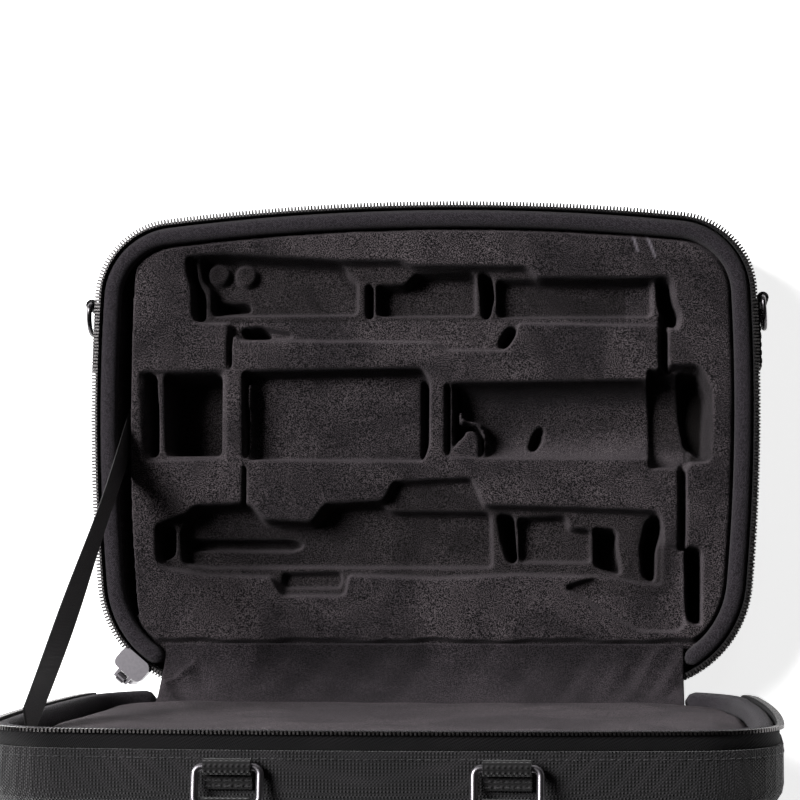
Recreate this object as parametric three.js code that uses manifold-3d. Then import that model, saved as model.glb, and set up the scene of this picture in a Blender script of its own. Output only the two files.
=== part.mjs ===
// A zipped case for a dismantled oboe, shown open: the base lies on its underside and the lid stands at the
// back, held by a ribbon. Millimetres, +Z up, +X along the long side, +Y towards the opening side, away
// from the hinge. The origin is the centre of the base's underside.
import * as THREE from 'three';
import { mergeVertices } from 'three/addons/utils/BufferGeometryUtils.js';
import Module from 'manifold-3d';

const wasm = await Module();
wasm.setup();

// The plan of the case: bowed front and ends, a straight hinge side and four rounded corners
const case_length = 330;
const case_depth = 240;
const front_bow_radius = 1160;
const end_bow_radius = 1020;
const end_widest_y = 29;
const front_corner_radius = 40;
const rear_corner_radius = 55;

// The two halves, measured from the plane in which the zip closes
const base_height = 52;
const lid_height = 34;
const shell_wall = 3;
const shell_edge_round = 10;
const zip_stand = 8;
const board_thickness = 1.7;
const clearance = 0.3;
const overrun = 2;

// The zip
const zip_tape_inset = 1.5;
const zip_tape_thickness = 1.2;
const zip_chain_inset = 0.6;
const zip_chain_width = 2.3;
const zip_chain_height = 1.5;
const zip_stop_length = 2.6;
const zip_stop_height = 2.2;

// The padded roll inside the zip
const roll_inset = 3.3;
const roll_width = 8.7;
const roll_height = 10;

// The moulded inserts, whose raised middles leave a slot for the ribbon at the left
const insert_drop = 6;
const insert_gap = 0.5;
const insert_edge_round = 1.2;
const insert_rear_y = -97.5;
const ribbon_slot_width = 4.7;
const ribbon_slot_rear_inset = 36;
const ribbon_slot_inner_inset = 40;
const ribbon_slot_depth = 30;
const ribbon_slot_end_run = 9;
const lid_slot_depth = 13;
const ribbon_side_gap = 1;
const pad_crown = 1.6;
const pad_crown_run = 26;

// The lid's stand and the ribbon that holds it
const open_angle = 94;
const ribbon_width = 20;
const ribbon_thickness = 0.8;
const ribbon_foot_y = -5;
const ribbon_head_radius = 181;

// The fabric over the hinge, outside and inside
const spine_overhang = 13.5;
const spine_thickness = 1.4;
const spine_inset = 1.1;
const lining_overhang = 18;
const lining_thickness = 1.2;
const lining_drop = 7;
const lining_sag_y = 116;
const lining_sag_drop = 2;

// The strap rings on the two ends and the webbing that holds them
const ring_y = 71;
const ring_drop = 15;
const ring_wire = 1.25;
const ring_half_height = 12.5;
const ring_depth = 14;
const ring_bend = 3;
const ring_rest_angle = 4;
const tab_height = 18;
const tab_thickness = 1.2;
const tab_length = 34;
const tab_loop_wall = 1.3;
const bore_gap = 0.35;

// The zip's slider and its pull, parked round the rear left corner
const slider_angle = 40;
const slider_length = 17;
const slider_outreach = 8;
const slider_inreach = 3;
const slider_corner_radius = 3.6;
const slider_plate = 1.8;
const slider_rise = 0.2;
const slider_core_inset = 0.2;
const ear_gap = 5.2;
const ear_thickness = 1.4;
const ear_end = 1.3;
const pin_radius = 0.8;
const pull_eye_wall = 1.15;
const pull_neck_width = 4.4;
const pull_neck_length = 7;
const pull_width = 8.4;
const pull_length = 27;
const pull_thickness = 2;
const pull_corner_radius = 3.2;
const pull_slot_length = 9;
const pull_slot_width = 3.4;
const pull_slot_drop = 17;

// The carrying handle on the lid's front wall
const handle_spread = 55;
const handle_height = 14;
const handle_wire = 1.6;
const handle_webbing = 1.3;
const handle_tab_width = 19;
const handle_tab_length = 9;
const handle_bar_half = 13;
const handle_ring_length = 15;
const handle_ring_bend = 3;
const handle_rest_angle = 10;
const grip_swing_radius = 34;
const grip_length = 134;
const grip_width = 23;
const grip_thickness = 12;
const grip_round = 5;
const grip_strap_thickness = 2.6;

// How finely round shapes are cut
const rear_corner_steps = 9;
const end_steps = 4;
const front_corner_steps = 7;
const front_steps = 4;
const zip_first_step = 2;
const roll_first_step = 3;
const lid_zip_first_step = 7;
const round_steps = 4;
const wire_sides = 8;
const bore_steps = 14;
const ring_steps = 8;
const bend_steps = 2;
const spine_steps = 8;
const lining_steps = 8;
const tail_steps = 2;
const slider_steps = 4;
const pad_steps = 14;
const rod_steps = 28;

const half_length = case_length / 2;
const half_depth = case_depth / 2;

// The rim's arcs: each centre is where two neighbouring arcs run into each other without a corner
const end_centre = { x: half_length - end_bow_radius, y: end_widest_y };
const front_centre = { x: 0, y: half_depth - front_bow_radius };
const rear_corner_y = rear_corner_radius - half_depth;
const rear_corner = {
  x: end_centre.x
    + Math.sqrt((end_bow_radius - rear_corner_radius) ** 2 - (rear_corner_y - end_centre.y) ** 2),
  y: rear_corner_y,
};
const front_corner = meet(
  front_centre, front_bow_radius - front_corner_radius,
  end_centre, end_bow_radius - front_corner_radius,
);

// Where two circles meet, on the side towards the front right
function meet(first, firstRadius, second, secondRadius) {
  const dx = second.x - first.x;
  const dy = second.y - first.y;
  const apart = Math.hypot(dx, dy);
  const along = (firstRadius ** 2 - secondRadius ** 2 + apart ** 2) / (2 * apart);
  const across = Math.sqrt(firstRadius ** 2 - along ** 2);
  return {
    x: first.x + (dx * along + dy * across) / apart,
    y: first.y + (dy * along - dx * across) / apart,
  };
}

function direction(from, to) {
  return Math.atan2(to.y - from.y, to.x - from.x);
}

// Stations along an arc: a point of the rim and the direction that points out of the case there
function arc(centre, radius, from, to, steps) {
  const stations = [];
  for (let i = 0; i <= steps; i += 1) {
    const turn = from + (to - from) * i / steps;
    const nx = Math.cos(turn);
    const ny = Math.sin(turn);
    stations.push({ x: centre.x + radius * nx, y: centre.y + radius * ny, nx, ny });
  }
  return stations;
}

const rear_join = direction(end_centre, rear_corner);
const front_join = direction(end_centre, front_corner);
const bow_join = direction(front_centre, front_corner);
const right_stations = [
  ...arc(rear_corner, rear_corner_radius, -Math.PI / 2, rear_join, rear_corner_steps),
  ...arc(end_centre, end_bow_radius, rear_join, front_join, end_steps).slice(1),
  ...arc(front_corner, front_corner_radius, front_join, bow_join, front_corner_steps).slice(1),
  ...arc(front_centre, front_bow_radius, bow_join, Math.PI / 2, front_steps).slice(1),
];
const left_stations = right_stations.slice(0, -1).reverse()
  .map((s) => ({ x: -s.x, y: s.y, nx: -s.nx, ny: s.ny }));
const rim_stations = [...right_stations, ...left_stations];

function rimStretch(firstStep) {
  return rim_stations.slice(firstStep, rim_stations.length - firstStep);
}

// A point of the rim's neighbourhood: so far in from the rim, and so far from the closing plane
function rimPoint(station, inset, z) {
  return new THREE.Vector3(station.x - station.nx * inset, station.y - station.ny * inset, z);
}

// Turns a closed mesh inside out where its faces point in
function facingOut(geometry) {
  const p = geometry.getAttribute('position');
  const index = geometry.getIndex();
  const [a, b, c] = [new THREE.Vector3(), new THREE.Vector3(), new THREE.Vector3()];
  let volume = 0;
  for (let i = 0; i < index.count; i += 3) {
    a.fromBufferAttribute(p, index.getX(i));
    b.fromBufferAttribute(p, index.getX(i + 1));
    c.fromBufferAttribute(p, index.getX(i + 2));
    volume += a.dot(b.cross(c));
  }
  if (volume < 0) {
    for (let i = 0; i < index.count; i += 3) {
      const first = index.getX(i);
      index.setX(i, index.getX(i + 1));
      index.setX(i + 1, first);
    }
  }
  return geometry;
}

// Joins closed outlines of equally many points, one after the other. Its ends are capped with the triangles
// of capOutline, or it closes on itself where there is none.
function loft(outlines, capOutline) {
  const count = outlines[0].length;
  const positions = outlines.flat().flatMap((v) => [v.x, v.y, v.z]);
  const index = [];
  const bands = capOutline ? outlines.length - 1 : outlines.length;
  for (let band = 0; band < bands; band += 1) {
    const low = band * count;
    const high = ((band + 1) % outlines.length) * count;
    for (let i = 0; i < count; i += 1) {
      const next = (i + 1) % count;
      index.push(low + i, low + next, high + next);
      index.push(low + i, high + next, high + i);
    }
  }
  if (capOutline) {
    const last = (outlines.length - 1) * count;
    const clockwise = THREE.ShapeUtils.area(capOutline) < 0;
    for (const [a, b, c] of THREE.ShapeUtils.triangulateShape(capOutline, [])) {
      const [p, q] = clockwise ? [c, b] : [b, c];
      index.push(a, q, p);
      index.push(last + a, last + p, last + q);
    }
  }
  const geometry = new THREE.BufferGeometry();
  geometry.setAttribute('position', new THREE.Float32BufferAttribute(positions, 3));
  geometry.setIndex(index);
  return facingOut(geometry);
}

// A section of [inset, z] pairs carried along the given stations
function carried(section, stations) {
  const cap = section.map(([inset, z]) => new THREE.Vector2(inset, z));
  return loft(stations.map((s) => section.map(([inset, z]) => rimPoint(s, inset, z))), cap);
}

// A body of closed rings that follow the whole rim, from the first [inset, z] pair to the last
function ringed(pairs) {
  const cap = rim_stations.map((s) => new THREE.Vector2(s.x, s.y));
  return loft(pairs.map(([inset, z]) => rim_stations.map((s) => rimPoint(s, inset, z))), cap);
}

// A prism over an outline of Vector2, from one height to another
function prism(outline, from, to) {
  return loft([from, to].map((z) => outline.map((v) => new THREE.Vector3(v.x, v.y, z))), outline);
}

function block(x0, x1, y0, y1, z0, z1) {
  return prism([[x0, y0], [x1, y0], [x1, y1], [x0, y1]].map((v) => new THREE.Vector2(...v)), z0, z1);
}

function circle(x, y, radius, steps) {
  return Array.from({ length: steps }, (_, i) => {
    const turn = 2 * Math.PI * i / steps;
    return new THREE.Vector2(x + radius * Math.cos(turn), y + radius * Math.sin(turn));
  });
}

// A rod along +X
function rod(x0, x1, y, z, radius, steps) {
  const outline = circle(0, 0, radius, steps);
  return loft([x0, x1].map((x) => outline.map((v) => new THREE.Vector3(x, y + v.x, z + v.y))), outline);
}

// A rectangle with rounded corners
function roundedRectangle(width, height, radius, steps) {
  const points = [];
  for (let corner = 0; corner < 4; corner += 1) {
    const sx = corner === 0 || corner === 3 ? 1 : -1;
    const sy = corner < 2 ? 1 : -1;
    for (let i = 0; i <= steps; i += 1) {
      const turn = Math.PI / 2 * (corner + i / steps);
      const x = sx * (width / 2 - radius) + radius * Math.cos(turn);
      const y = sy * (height / 2 - radius) + radius * Math.sin(turn);
      points.push(new THREE.Vector2(x, y));
    }
  }
  return points;
}

// Round wire bent along a closed flat path in the XZ plane
function wireLoop(path, radius) {
  const flat = new THREE.Vector3(0, 1, 0);
  const rings = path.map((point, i) => {
    const before = path[(i + path.length - 1) % path.length];
    const after = path[(i + 1) % path.length];
    const incoming = point.clone().sub(before).normalize();
    const outgoing = after.clone().sub(point).normalize();
    const along = incoming.clone().add(outgoing).normalize();
    const across = along.clone().cross(flat);
    const stretch = 1 / incoming.dot(along);
    return Array.from({ length: wire_sides }, (_, k) => {
      const turn = 2 * Math.PI * (k + 1 / 2) / wire_sides;
      return point.clone()
        .addScaledVector(across, radius * stretch * Math.cos(turn))
        .addScaledVector(flat, radius * Math.sin(turn));
    });
  });
  return loft(rings);
}

function toSolid(geometry) {
  const bare = geometry.clone();
  bare.deleteAttribute('normal');
  bare.deleteAttribute('uv');
  const merged = mergeVertices(bare);
  return new wasm.Manifold(new wasm.Mesh({
    numProp: 3,
    vertProperties: new Float32Array(merged.getAttribute('position').array),
    triVerts: new Uint32Array(merged.getIndex().array),
  }));
}

function toGeometry(solid) {
  const mesh = solid.getMesh();
  const geometry = new THREE.BufferGeometry();
  geometry.setAttribute('position', new THREE.BufferAttribute(new Float32Array(mesh.vertProperties), 3));
  geometry.setIndex(new THREE.BufferAttribute(new Uint32Array(mesh.triVerts), 1));
  return geometry;
}

function cut(geometry, cutters) {
  return toGeometry(cutters.reduce((solid, cutter) => solid.subtract(toSolid(cutter)), toSolid(geometry)));
}

function joined(geometries) {
  return toGeometry(geometries.map(toSolid).reduce((all, one) => all.add(one)));
}

function common(first, second) {
  return toGeometry(toSolid(first).intersect(toSolid(second)));
}

// Materials: what each piece is made of in the photograph
function material(color, roughness, metalness) {
  return new THREE.MeshStandardMaterial({ color, roughness, metalness });
}
const looks = {
  shell: material(0x1b1a1c, 0.85, 0),
  board: material(0x3a3836, 0.8, 0),
  plush: material(0x363236, 0.95, 0),
  knit: material(0x29272a, 0.9, 0),
  tape: material(0x141315, 0.9, 0),
  nickel: material(0xb9b6b4, 0.3, 1),
  ribbon: material(0x1f1b1d, 0.55, 0),
  webbing: material(0x171617, 0.85, 0),
};

const group = new THREE.Group();
const base = new THREE.Group();
base.position.z = base_height;
const lid = new THREE.Group();
lid.position.set(0, -half_depth, base_height);
lid.rotation.x = THREE.MathUtils.degToRad(open_angle);
const closed_lid = new THREE.Group();
closed_lid.position.y = half_depth;
lid.add(closed_lid);
group.add(base, lid);

function piece(parent, name, geometry, look) {
  const mesh = new THREE.Mesh(geometry, look);
  mesh.name = name;
  parent.add(mesh);
  return mesh;
}

// Both halves are built alike. side is -1 for the base, under the closing plane, and 1 for the lid, over it.
const fill_inset = shell_wall + clearance;
const roll_clear = roll_inset + roll_width + insert_gap;
const ledge = clearance + roll_height + clearance;

// The moulded shell: a tray with a rounded edge and walls of one thickness
function shell(side, height) {
  const pairs = [];
  for (let i = 0; i <= round_steps; i += 1) {
    const turn = Math.PI / 2 * i / round_steps;
    const inset = shell_edge_round * (1 - Math.sin(turn));
    pairs.push([inset, side * (height - shell_edge_round * (1 - Math.cos(turn)))]);
  }
  pairs.push([0, side * zip_stand]);
  pairs.push([shell_wall, side * zip_stand]);
  const inner_round = shell_edge_round - shell_wall;
  for (let i = round_steps; i >= 0; i -= 1) {
    const turn = Math.PI / 2 * i / round_steps;
    const inset = shell_wall + inner_round * (1 - Math.sin(turn));
    pairs.push([inset, side * (height - shell_wall - inner_round * (1 - Math.cos(turn)))]);
  }
  return ringed(pairs);
}

// The stiffening board that lies on the shell's floor
function board(side, height) {
  const outer = height - shell_wall - clearance;
  return ringed([[shell_edge_round, side * outer], [shell_edge_round, side * (outer - board_thickness)]]);
}

// The tape that stands on the shell's edge, and the chain of teeth along its free edge
const tape_top = clearance / 2 + zip_chain_height + clearance;

function tape(side, firstStep) {
  const far = side * (zip_stand - clearance);
  const near = side * tape_top;
  const inner = zip_tape_inset + zip_tape_thickness;
  return carried([[zip_tape_inset, far], [inner, far], [inner, near], [zip_tape_inset, near]],
    rimStretch(firstStep));
}

function chain(side, firstStep) {
  const near = side * clearance / 2;
  const far = near + side * zip_chain_height;
  const inner = zip_chain_inset + zip_chain_width;
  return carried([[zip_chain_inset, far], [inner, far], [inner, near], [zip_chain_inset, near]],
    rimStretch(firstStep));
}

// The padded roll: a full, slightly flattened section whose outline bulges towards the closing plane
function roll(side) {
  const points = 12;
  const section = Array.from({ length: points }, (_, i) => {
    const turn = 2 * Math.PI * (i + 1 / 2) / points;
    const reach = Math.cos(Math.PI / points);
    const inset = roll_inset + roll_width / 2 * (1 + Math.cos(turn) / reach);
    return [inset, side * (clearance + roll_height / 2 * (1 + Math.sin(turn) / reach))];
  });
  return carried(section, rimStretch(roll_first_step));
}

// The inside of each half: a ledge under the roll and a raised middle, which stops short of the hinge and
// leaves a slot along the left wall, into which the ribbon folds. The slot closes softly at both ends.
function filling(side, height, slotDepth) {
  const bottom = height - shell_wall - clearance - board_thickness - clearance;
  const lower_round = shell_edge_round - fill_inset;
  const low = ringed([
    [shell_edge_round, side * bottom],
    [fill_inset, side * (bottom - lower_round)],
    [fill_inset, side * ledge],
  ]);
  const middle = ringed([
    [roll_clear, side * slotDepth],
    [roll_clear, side * (insert_drop + insert_edge_round)],
    [roll_clear + insert_edge_round, side * insert_drop],
  ]);
  const shifts = [-ribbon_slot_end_run, ribbon_slot_end_run];
  const kept = joined(shifts.map((run) => middle.clone().translate(ribbon_slot_width, run, 0)));
  const slot = cut(
    common(ringed([[roll_clear, side * slotDepth], [roll_clear, 0]]),
      block(
        -half_length, ribbon_slot_inner_inset - half_length, ribbon_slot_rear_inset - half_depth, half_depth,
        -height, height,
      )),
    shifts.map((run) => ringed([[roll_clear, side * (slotDepth + overrun)], [roll_clear, -side * overrun]])
      .translate(ribbon_slot_width, run, 0)),
  );
  const raised = cut(common(middle, kept), [
    block(-half_length, half_length, -half_depth - overrun, insert_rear_y, -height, height),
  ]);
  return cut(joined([low, raised]), [slot]);
}

// The recesses of the base's insert. Outlines are shares of half the case's length and depth, depths are
// measured from the insert's top, and the walls lean in by a share of their depth. Narrow slits and pits
// have steep walls.
const lean_share = 0.07;
const steep_share = 0.02;
const lip_depth = 3;
const soft_depth = 5;
const shelf_depth = 8;
const notch_depth = 11;
const pocket_depth = 14;
const trough_depth = 17;
const step_depth = 21;
const slit_depth = 26;
const deep_depth = 31;
const well_depth = 35;

const recesses = [
  {
    what: 'upper joint, with its shelf towards the middle',
    depth: shelf_depth,
    outline_shares: [
      [-0.724, 0.79], [-0.666, 0.8], [-0.596, 0.802], [-0.236, 0.765], [-0.067, 0.762], [-0.038, 0.742],
      [0.046, 0.738], [0.316, 0.732], [0.343, 0.686], [0.628, 0.679], [0.74, 0.685], [0.754, 0.639],
      [0.755, 0.564], [0.775, 0.53], [0.764, 0.46], [0.705, 0.483], [0.286, 0.499], [0.279, 0.443],
      [0.249, 0.386], [0.071, 0.388], [0.027, 0.424], [-0.563, 0.438], [-0.593, 0.479], [-0.591, 0.51],
      [-0.665, 0.511], [-0.701, 0.522], [-0.707, 0.663], [-0.721, 0.716],
    ],
  },
  {
    what: 'low end of that shelf',
    depth: pocket_depth,
    outline_shares: [[-0.562, 0.495], [-0.5, 0.505], [-0.4, 0.474], [-0.4, 0.446], [-0.554, 0.446]],
  },
  {
    what: 'pit in the low end of that shelf',
    depth: slit_depth,
    steep: true,
    outline_shares: [[-0.556, 0.488], [-0.486, 0.495], [-0.462, 0.455], [-0.548, 0.452]],
  },
  {
    what: 'slit from that shelf down to the left compartment',
    depth: notch_depth,
    steep: true,
    outline_shares: [
      [-0.592, 0.318], [-0.592, 0.433], [-0.588, 0.487], [-0.578, 0.487], [-0.582, 0.433], [-0.585, 0.318],
    ],
  },
  {
    what: 'slit along the left end of the upper joint',
    depth: slit_depth,
    steep: true,
    outline_shares: [
      [-0.716, 0.77], [-0.704, 0.765], [-0.699, 0.7], [-0.673, 0.635], [-0.672, 0.53], [-0.697, 0.528],
      [-0.702, 0.571], [-0.703, 0.668], [-0.715, 0.724],
    ],
  },
  {
    what: 'trough of the upper joint, left of its first rib',
    depth: trough_depth,
    outline_shares: [
      [-0.655, 0.545], [-0.655, 0.655], [-0.684, 0.7], [-0.69, 0.786], [-0.665, 0.796], [-0.596, 0.799],
      [-0.246, 0.762],
      [-0.224, 0.712], [-0.2, 0.69], [-0.2, 0.545],
    ],
  },
  {
    what: 'trough of the upper joint between its ribs',
    depth: step_depth,
    outline_shares: [
      [-0.15, 0.538], [-0.15, 0.674], [-0.056, 0.676], [-0.028, 0.722], [0.158, 0.722], [0.16, 0.536],
    ],
  },
  {
    what: 'trough of the upper joint, right of its second rib',
    depth: trough_depth,
    outline_shares: [
      [0.217, 0.527], [0.217, 0.69], [0.33, 0.69], [0.346, 0.683], [0.628, 0.675], [0.69, 0.678],
      [0.69, 0.524],
    ],
  },
  {
    what: 'slit at the first rib',
    depth: slit_depth,
    steep: true,
    outline_shares: [[-0.176, 0.672], [-0.157, 0.672], [-0.157, 0.532], [-0.176, 0.532]],
  },
  {
    what: 'slit at the second rib',
    depth: deep_depth,
    steep: true,
    outline_shares: [
      [0.165, 0.712], [0.203, 0.712], [0.212, 0.625], [0.197, 0.528], [0.176, 0.528], [0.172, 0.625],
    ],
  },
  {
    what: 'pit at the left end of the upper joint',
    depth: deep_depth,
    outline_shares: [[-0.648, 0.6], [-0.638, 0.622], [-0.534, 0.62], [-0.53, 0.563], [-0.645, 0.558]],
  },
  {
    what: 'pit at the right end of the upper joint',
    depth: deep_depth,
    steep: true,
    outline_shares: [
      [0.7, 0.672], [0.737, 0.672], [0.746, 0.602], [0.766, 0.54], [0.755, 0.48], [0.73, 0.492],
      [0.706, 0.562],
    ],
  },
  {
    what: 'slanting slit beside the lower shelf',
    depth: slit_depth,
    steep: true,
    outline_shares: [
      [0.254, 0.486], [0.282, 0.486], [0.274, 0.449], [0.249, 0.403], [0.223, 0.404], [0.233, 0.442],
    ],
  },
  {
    what: 'notch between the upper joint and the bell',
    depth: step_depth,
    steep: true,
    outline_shares: [[0.709, 0.53], [0.731, 0.53], [0.731, 0.3], [0.709, 0.3]],
  },
  {
    what: 'left compartment',
    depth: lip_depth,
    outline_shares: [[-0.864, 0.307], [-0.6, 0.312], [-0.597, -0.058], [-0.848, -0.064]],
  },
  {
    what: 'groove along the end of the left compartment',
    depth: deep_depth,
    steep: true,
    outline_shares: [[-0.846, 0.3], [-0.817, 0.3], [-0.808, 0.122], [-0.807, -0.042], [-0.838, -0.045]],
  },
  {
    what: 'well of the left compartment',
    depth: well_depth,
    outline_shares: [[-0.79, 0.298], [-0.612, 0.302], [-0.611, -0.046], [-0.782, -0.044]],
  },
  {
    what: 'middle compartment',
    depth: trough_depth,
    outline_shares: [
      [-0.546, 0.306], [-0.001, 0.313], [0.02, 0.27], [0.019, -0.001], [0.003, -0.071], [-0.539, -0.061],
    ],
  },
  {
    what: 'slit at the left end of the middle compartment',
    depth: deep_depth,
    steep: true,
    outline_shares: [[-0.545, 0.298], [-0.534, 0.298], [-0.533, -0.052], [-0.54, -0.052]],
  },
  {
    what: 'slit at the right end of the middle compartment',
    depth: deep_depth,
    steep: true,
    outline_shares: [[-0.011, 0.282], [0.012, 0.264], [0.011, 0.006], [-0.001, -0.06], [-0.011, -0.057]],
  },
  {
    what: 'bell recess above its round floor',
    depth: shelf_depth,
    outline_shares: [[0.093, 0.249], [0.672, 0.255], [0.671, -0.065], [0.093, -0.058]],
  },
  {
    what: 'step down to the ridge at the narrow end of the bell',
    depth: lip_depth,
    outline_shares: [[0.069, 0.249], [0.1, 0.249], [0.1, -0.058], [0.069, -0.058]],
  },
  {
    what: 'slit outside the ridge at the narrow end of the bell',
    depth: slit_depth,
    steep: true,
    outline_shares: [[0.07, 0.242], [0.078, 0.242], [0.078, -0.04], [0.07, -0.04]],
  },
  {
    what: 'slit inside the ridge at the narrow end of the bell',
    depth: deep_depth,
    steep: true,
    outline_shares: [[0.092, 0.242], [0.107, 0.242], [0.107, 0.02], [0.092, 0.02]],
  },
  {
    what: 'finger notch beside the bell',
    depth: deep_depth,
    steep: true,
    outline_shares: [[0.36, 0.093], [0.352, 0.012], [0.325, -0.03], [0.309, -0.006], [0.328, 0.068]],
  },
  {
    what: 'room for the rim of the bell',
    depth: notch_depth,
    outline_shares: [
      [0.668, 0.249], [0.694, 0.283], [0.725, 0.318], [0.825, 0.314], [0.842, 0.273], [0.863, 0.206],
      [0.853, -0.08], [0.768, -0.087], [0.74, -0.073], [0.668, -0.06],
    ],
  },
  {
    what: 'well at the rim of the bell',
    depth: well_depth,
    outline_shares: [
      [0.754, 0.296], [0.82, 0.302], [0.833, 0.272], [0.855, 0.206], [0.845, -0.065], [0.819, -0.065],
      [0.77, -0.017], [0.753, 0.107],
    ],
  },
  {
    what: 'slit from the bell to the lower joint',
    depth: trough_depth,
    steep: true,
    outline_shares: [[0.763, -0.07], [0.782, -0.07], [0.778, -0.44], [0.761, -0.44]],
  },
  {
    what: 'lower joint, with its shelves',
    depth: shelf_depth,
    outline_shares: [
      [-0.807, -0.333], [-0.714, -0.288], [-0.686, -0.253], [-0.523, -0.243], [-0.478, -0.31],
      [-0.33, -0.322],
      [-0.291, -0.248], [-0.114, -0.235], [-0.087, -0.157], [0.149, -0.143], [0.183, -0.257], [0.402, -0.265],
      [0.7, -0.283], [0.715, -0.352], [0.71, -0.585], [0.65, -0.575], [0.55, -0.55], [0.285, -0.537],
      [0.048, -0.553], [-0.223, -0.539], [-0.232, -0.624], [-0.424, -0.624], [-0.436, -0.59],
      [-0.456, -0.547],
      [-0.664, -0.538], [-0.771, -0.511], [-0.803, -0.482],
    ],
  },
  {
    what: 'slit from the middle compartment towards the lower joint',
    depth: notch_depth,
    steep: true,
    outline_shares: [[-0.541, -0.085], [-0.5355, -0.085], [-0.5355, -0.255], [-0.541, -0.255]],
  },
  {
    what: 'trough of the lower joint',
    depth: trough_depth,
    outline_shares: [
      [-0.74, -0.35], [-0.71, -0.293], [-0.683, -0.258], [-0.525, -0.248], [-0.48, -0.315], [-0.33, -0.327],
      [-0.289, -0.253], [-0.122, -0.241], [-0.104, -0.272], [0.205, -0.275], [0.21, -0.512], [-0.46, -0.51],
      [-0.66, -0.512], [-0.735, -0.49],
    ],
  },
  {
    what: 'groove along the trough of the lower joint',
    depth: slit_depth,
    steep: true,
    outline_shares: [[-0.72, -0.385], [-0.4, -0.388], [-0.36, -0.41], [-0.4, -0.436], [-0.72, -0.432]],
  },
  {
    what: 'pit at the left end of the lower joint',
    depth: deep_depth,
    steep: true,
    outline_shares: [[-0.8, -0.344], [-0.756, -0.335], [-0.756, -0.455], [-0.788, -0.474], [-0.8, -0.458]],
  },
  {
    what: 'slanting slit at the post of the lower joint',
    depth: deep_depth,
    steep: true,
    outline_shares: [[0.222, -0.291], [0.27, -0.292], [0.28, -0.486], [0.253, -0.486], [0.234, -0.399]],
  },
  {
    what: 'floor right of the post, round its shelf',
    depth: trough_depth,
    outline_shares: [
      [0.279, -0.3], [0.43, -0.29], [0.436, -0.345], [0.506, -0.345], [0.505, -0.492], [0.279, -0.489],
    ],
  },
  {
    what: 'pit below the shelf',
    depth: deep_depth,
    steep: true,
    outline_shares: [
      [0.506, -0.346], [0.574, -0.353], [0.576, -0.44], [0.59, -0.536], [0.549, -0.523], [0.506, -0.496],
    ],
  },
  {
    what: 'pit at the right end of the lower joint',
    depth: deep_depth,
    steep: true,
    outline_shares: [
      [0.665, -0.32], [0.702, -0.292], [0.709, -0.347], [0.69, -0.441], [0.687, -0.568], [0.652, -0.547],
      [0.647, -0.427],
    ],
  },
  {
    what: 'soft hollow in the corner by the hinge',
    depth: soft_depth,
    outline_shares: [
      [0.7, -0.41], [0.77, -0.432], [0.776, -0.743], [0.754, -0.769], [0.64, -0.767], [0.544, -0.696],
      [0.42, -0.59], [0.526, -0.54], [0.65, -0.57], [0.7, -0.57],
    ],
  },
  {
    what: 'slot in the corner by the hinge',
    depth: deep_depth,
    steep: true,
    outline_shares: [[0.776, -0.428], [0.824, -0.432], [0.821, -0.743], [0.781, -0.722]],
  },
  {
    what: 'pocket at the edge by the hinge',
    depth: pocket_depth,
    outline_shares: [[-0.431, -0.525], [-0.24, -0.52], [-0.247, -0.596], [-0.429, -0.596]],
  },
];

function fromShares(pairs) {
  return pairs.map(([x, y]) => new THREE.Vector2(x * half_length, y * half_depth));
}

// The outline moved in by the same distance on every side
function drawnIn(outline, distance) {
  const turn = Math.sign(THREE.ShapeUtils.area(outline));
  return outline.map((point, i) => {
    const before = outline[(i + outline.length - 1) % outline.length];
    const after = outline[(i + 1) % outline.length];
    const incoming = point.clone().sub(before).normalize();
    const outgoing = after.clone().sub(point).normalize();
    const along = incoming.clone().add(outgoing).normalize();
    const inward = new THREE.Vector2(-along.y, along.x).multiplyScalar(turn);
    return point.clone().addScaledVector(inward, distance / incoming.dot(along));
  });
}

// The outline with its corners rounded off, as far as their edges allow
const corner_run = 2.2;
const corner_edge_share = 0.4;

function rounded(outline) {
  return outline.flatMap((corner, i) => {
    const count = outline.length;
    const [before, after] = [outline[(i + count - 1) % count], outline[(i + 1) % count]].map((neighbour) => {
      const edge = neighbour.distanceTo(corner);
      return corner.clone().lerp(neighbour, Math.min(corner_run / edge, corner_edge_share));
    });
    const tip = before.clone().lerp(after, 1 / 2).lerp(corner, 1 / 2);
    return [before, tip, after];
  });
}

const insert_top = -insert_drop;

function recessCutter({ depth, steep, outline_shares }) {
  const sharp = fromShares(outline_shares);
  const mouth = rounded(sharp);
  const floor = rounded(drawnIn(sharp, depth * (steep ? steep_share : lean_share)));
  return loft([
    mouth.map((v) => new THREE.Vector3(v.x, v.y, insert_top + overrun)),
    mouth.map((v) => new THREE.Vector3(v.x, v.y, insert_top)),
    floor.map((v) => new THREE.Vector3(v.x, v.y, insert_top - depth)),
  ], mouth);
}

// The bell's round floors: half of a rod's surface, sunk into the insert
const bell_y_share = 0.095;
const bell_floor_shares = [0.093, 0.68];
const bell_floor_radius = 18;
const bell_floor_depth = 23;
const bell_rim_shares = [0.676, 0.79];
const bell_rim_radius = 24;
const bell_rim_depth = 28;

function roundFloor([from, to], radius, depth) {
  const axis_z = insert_top - depth + radius;
  return rod(from * half_length, to * half_length, bell_y_share * half_depth, axis_z, radius, rod_steps);
}

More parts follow.
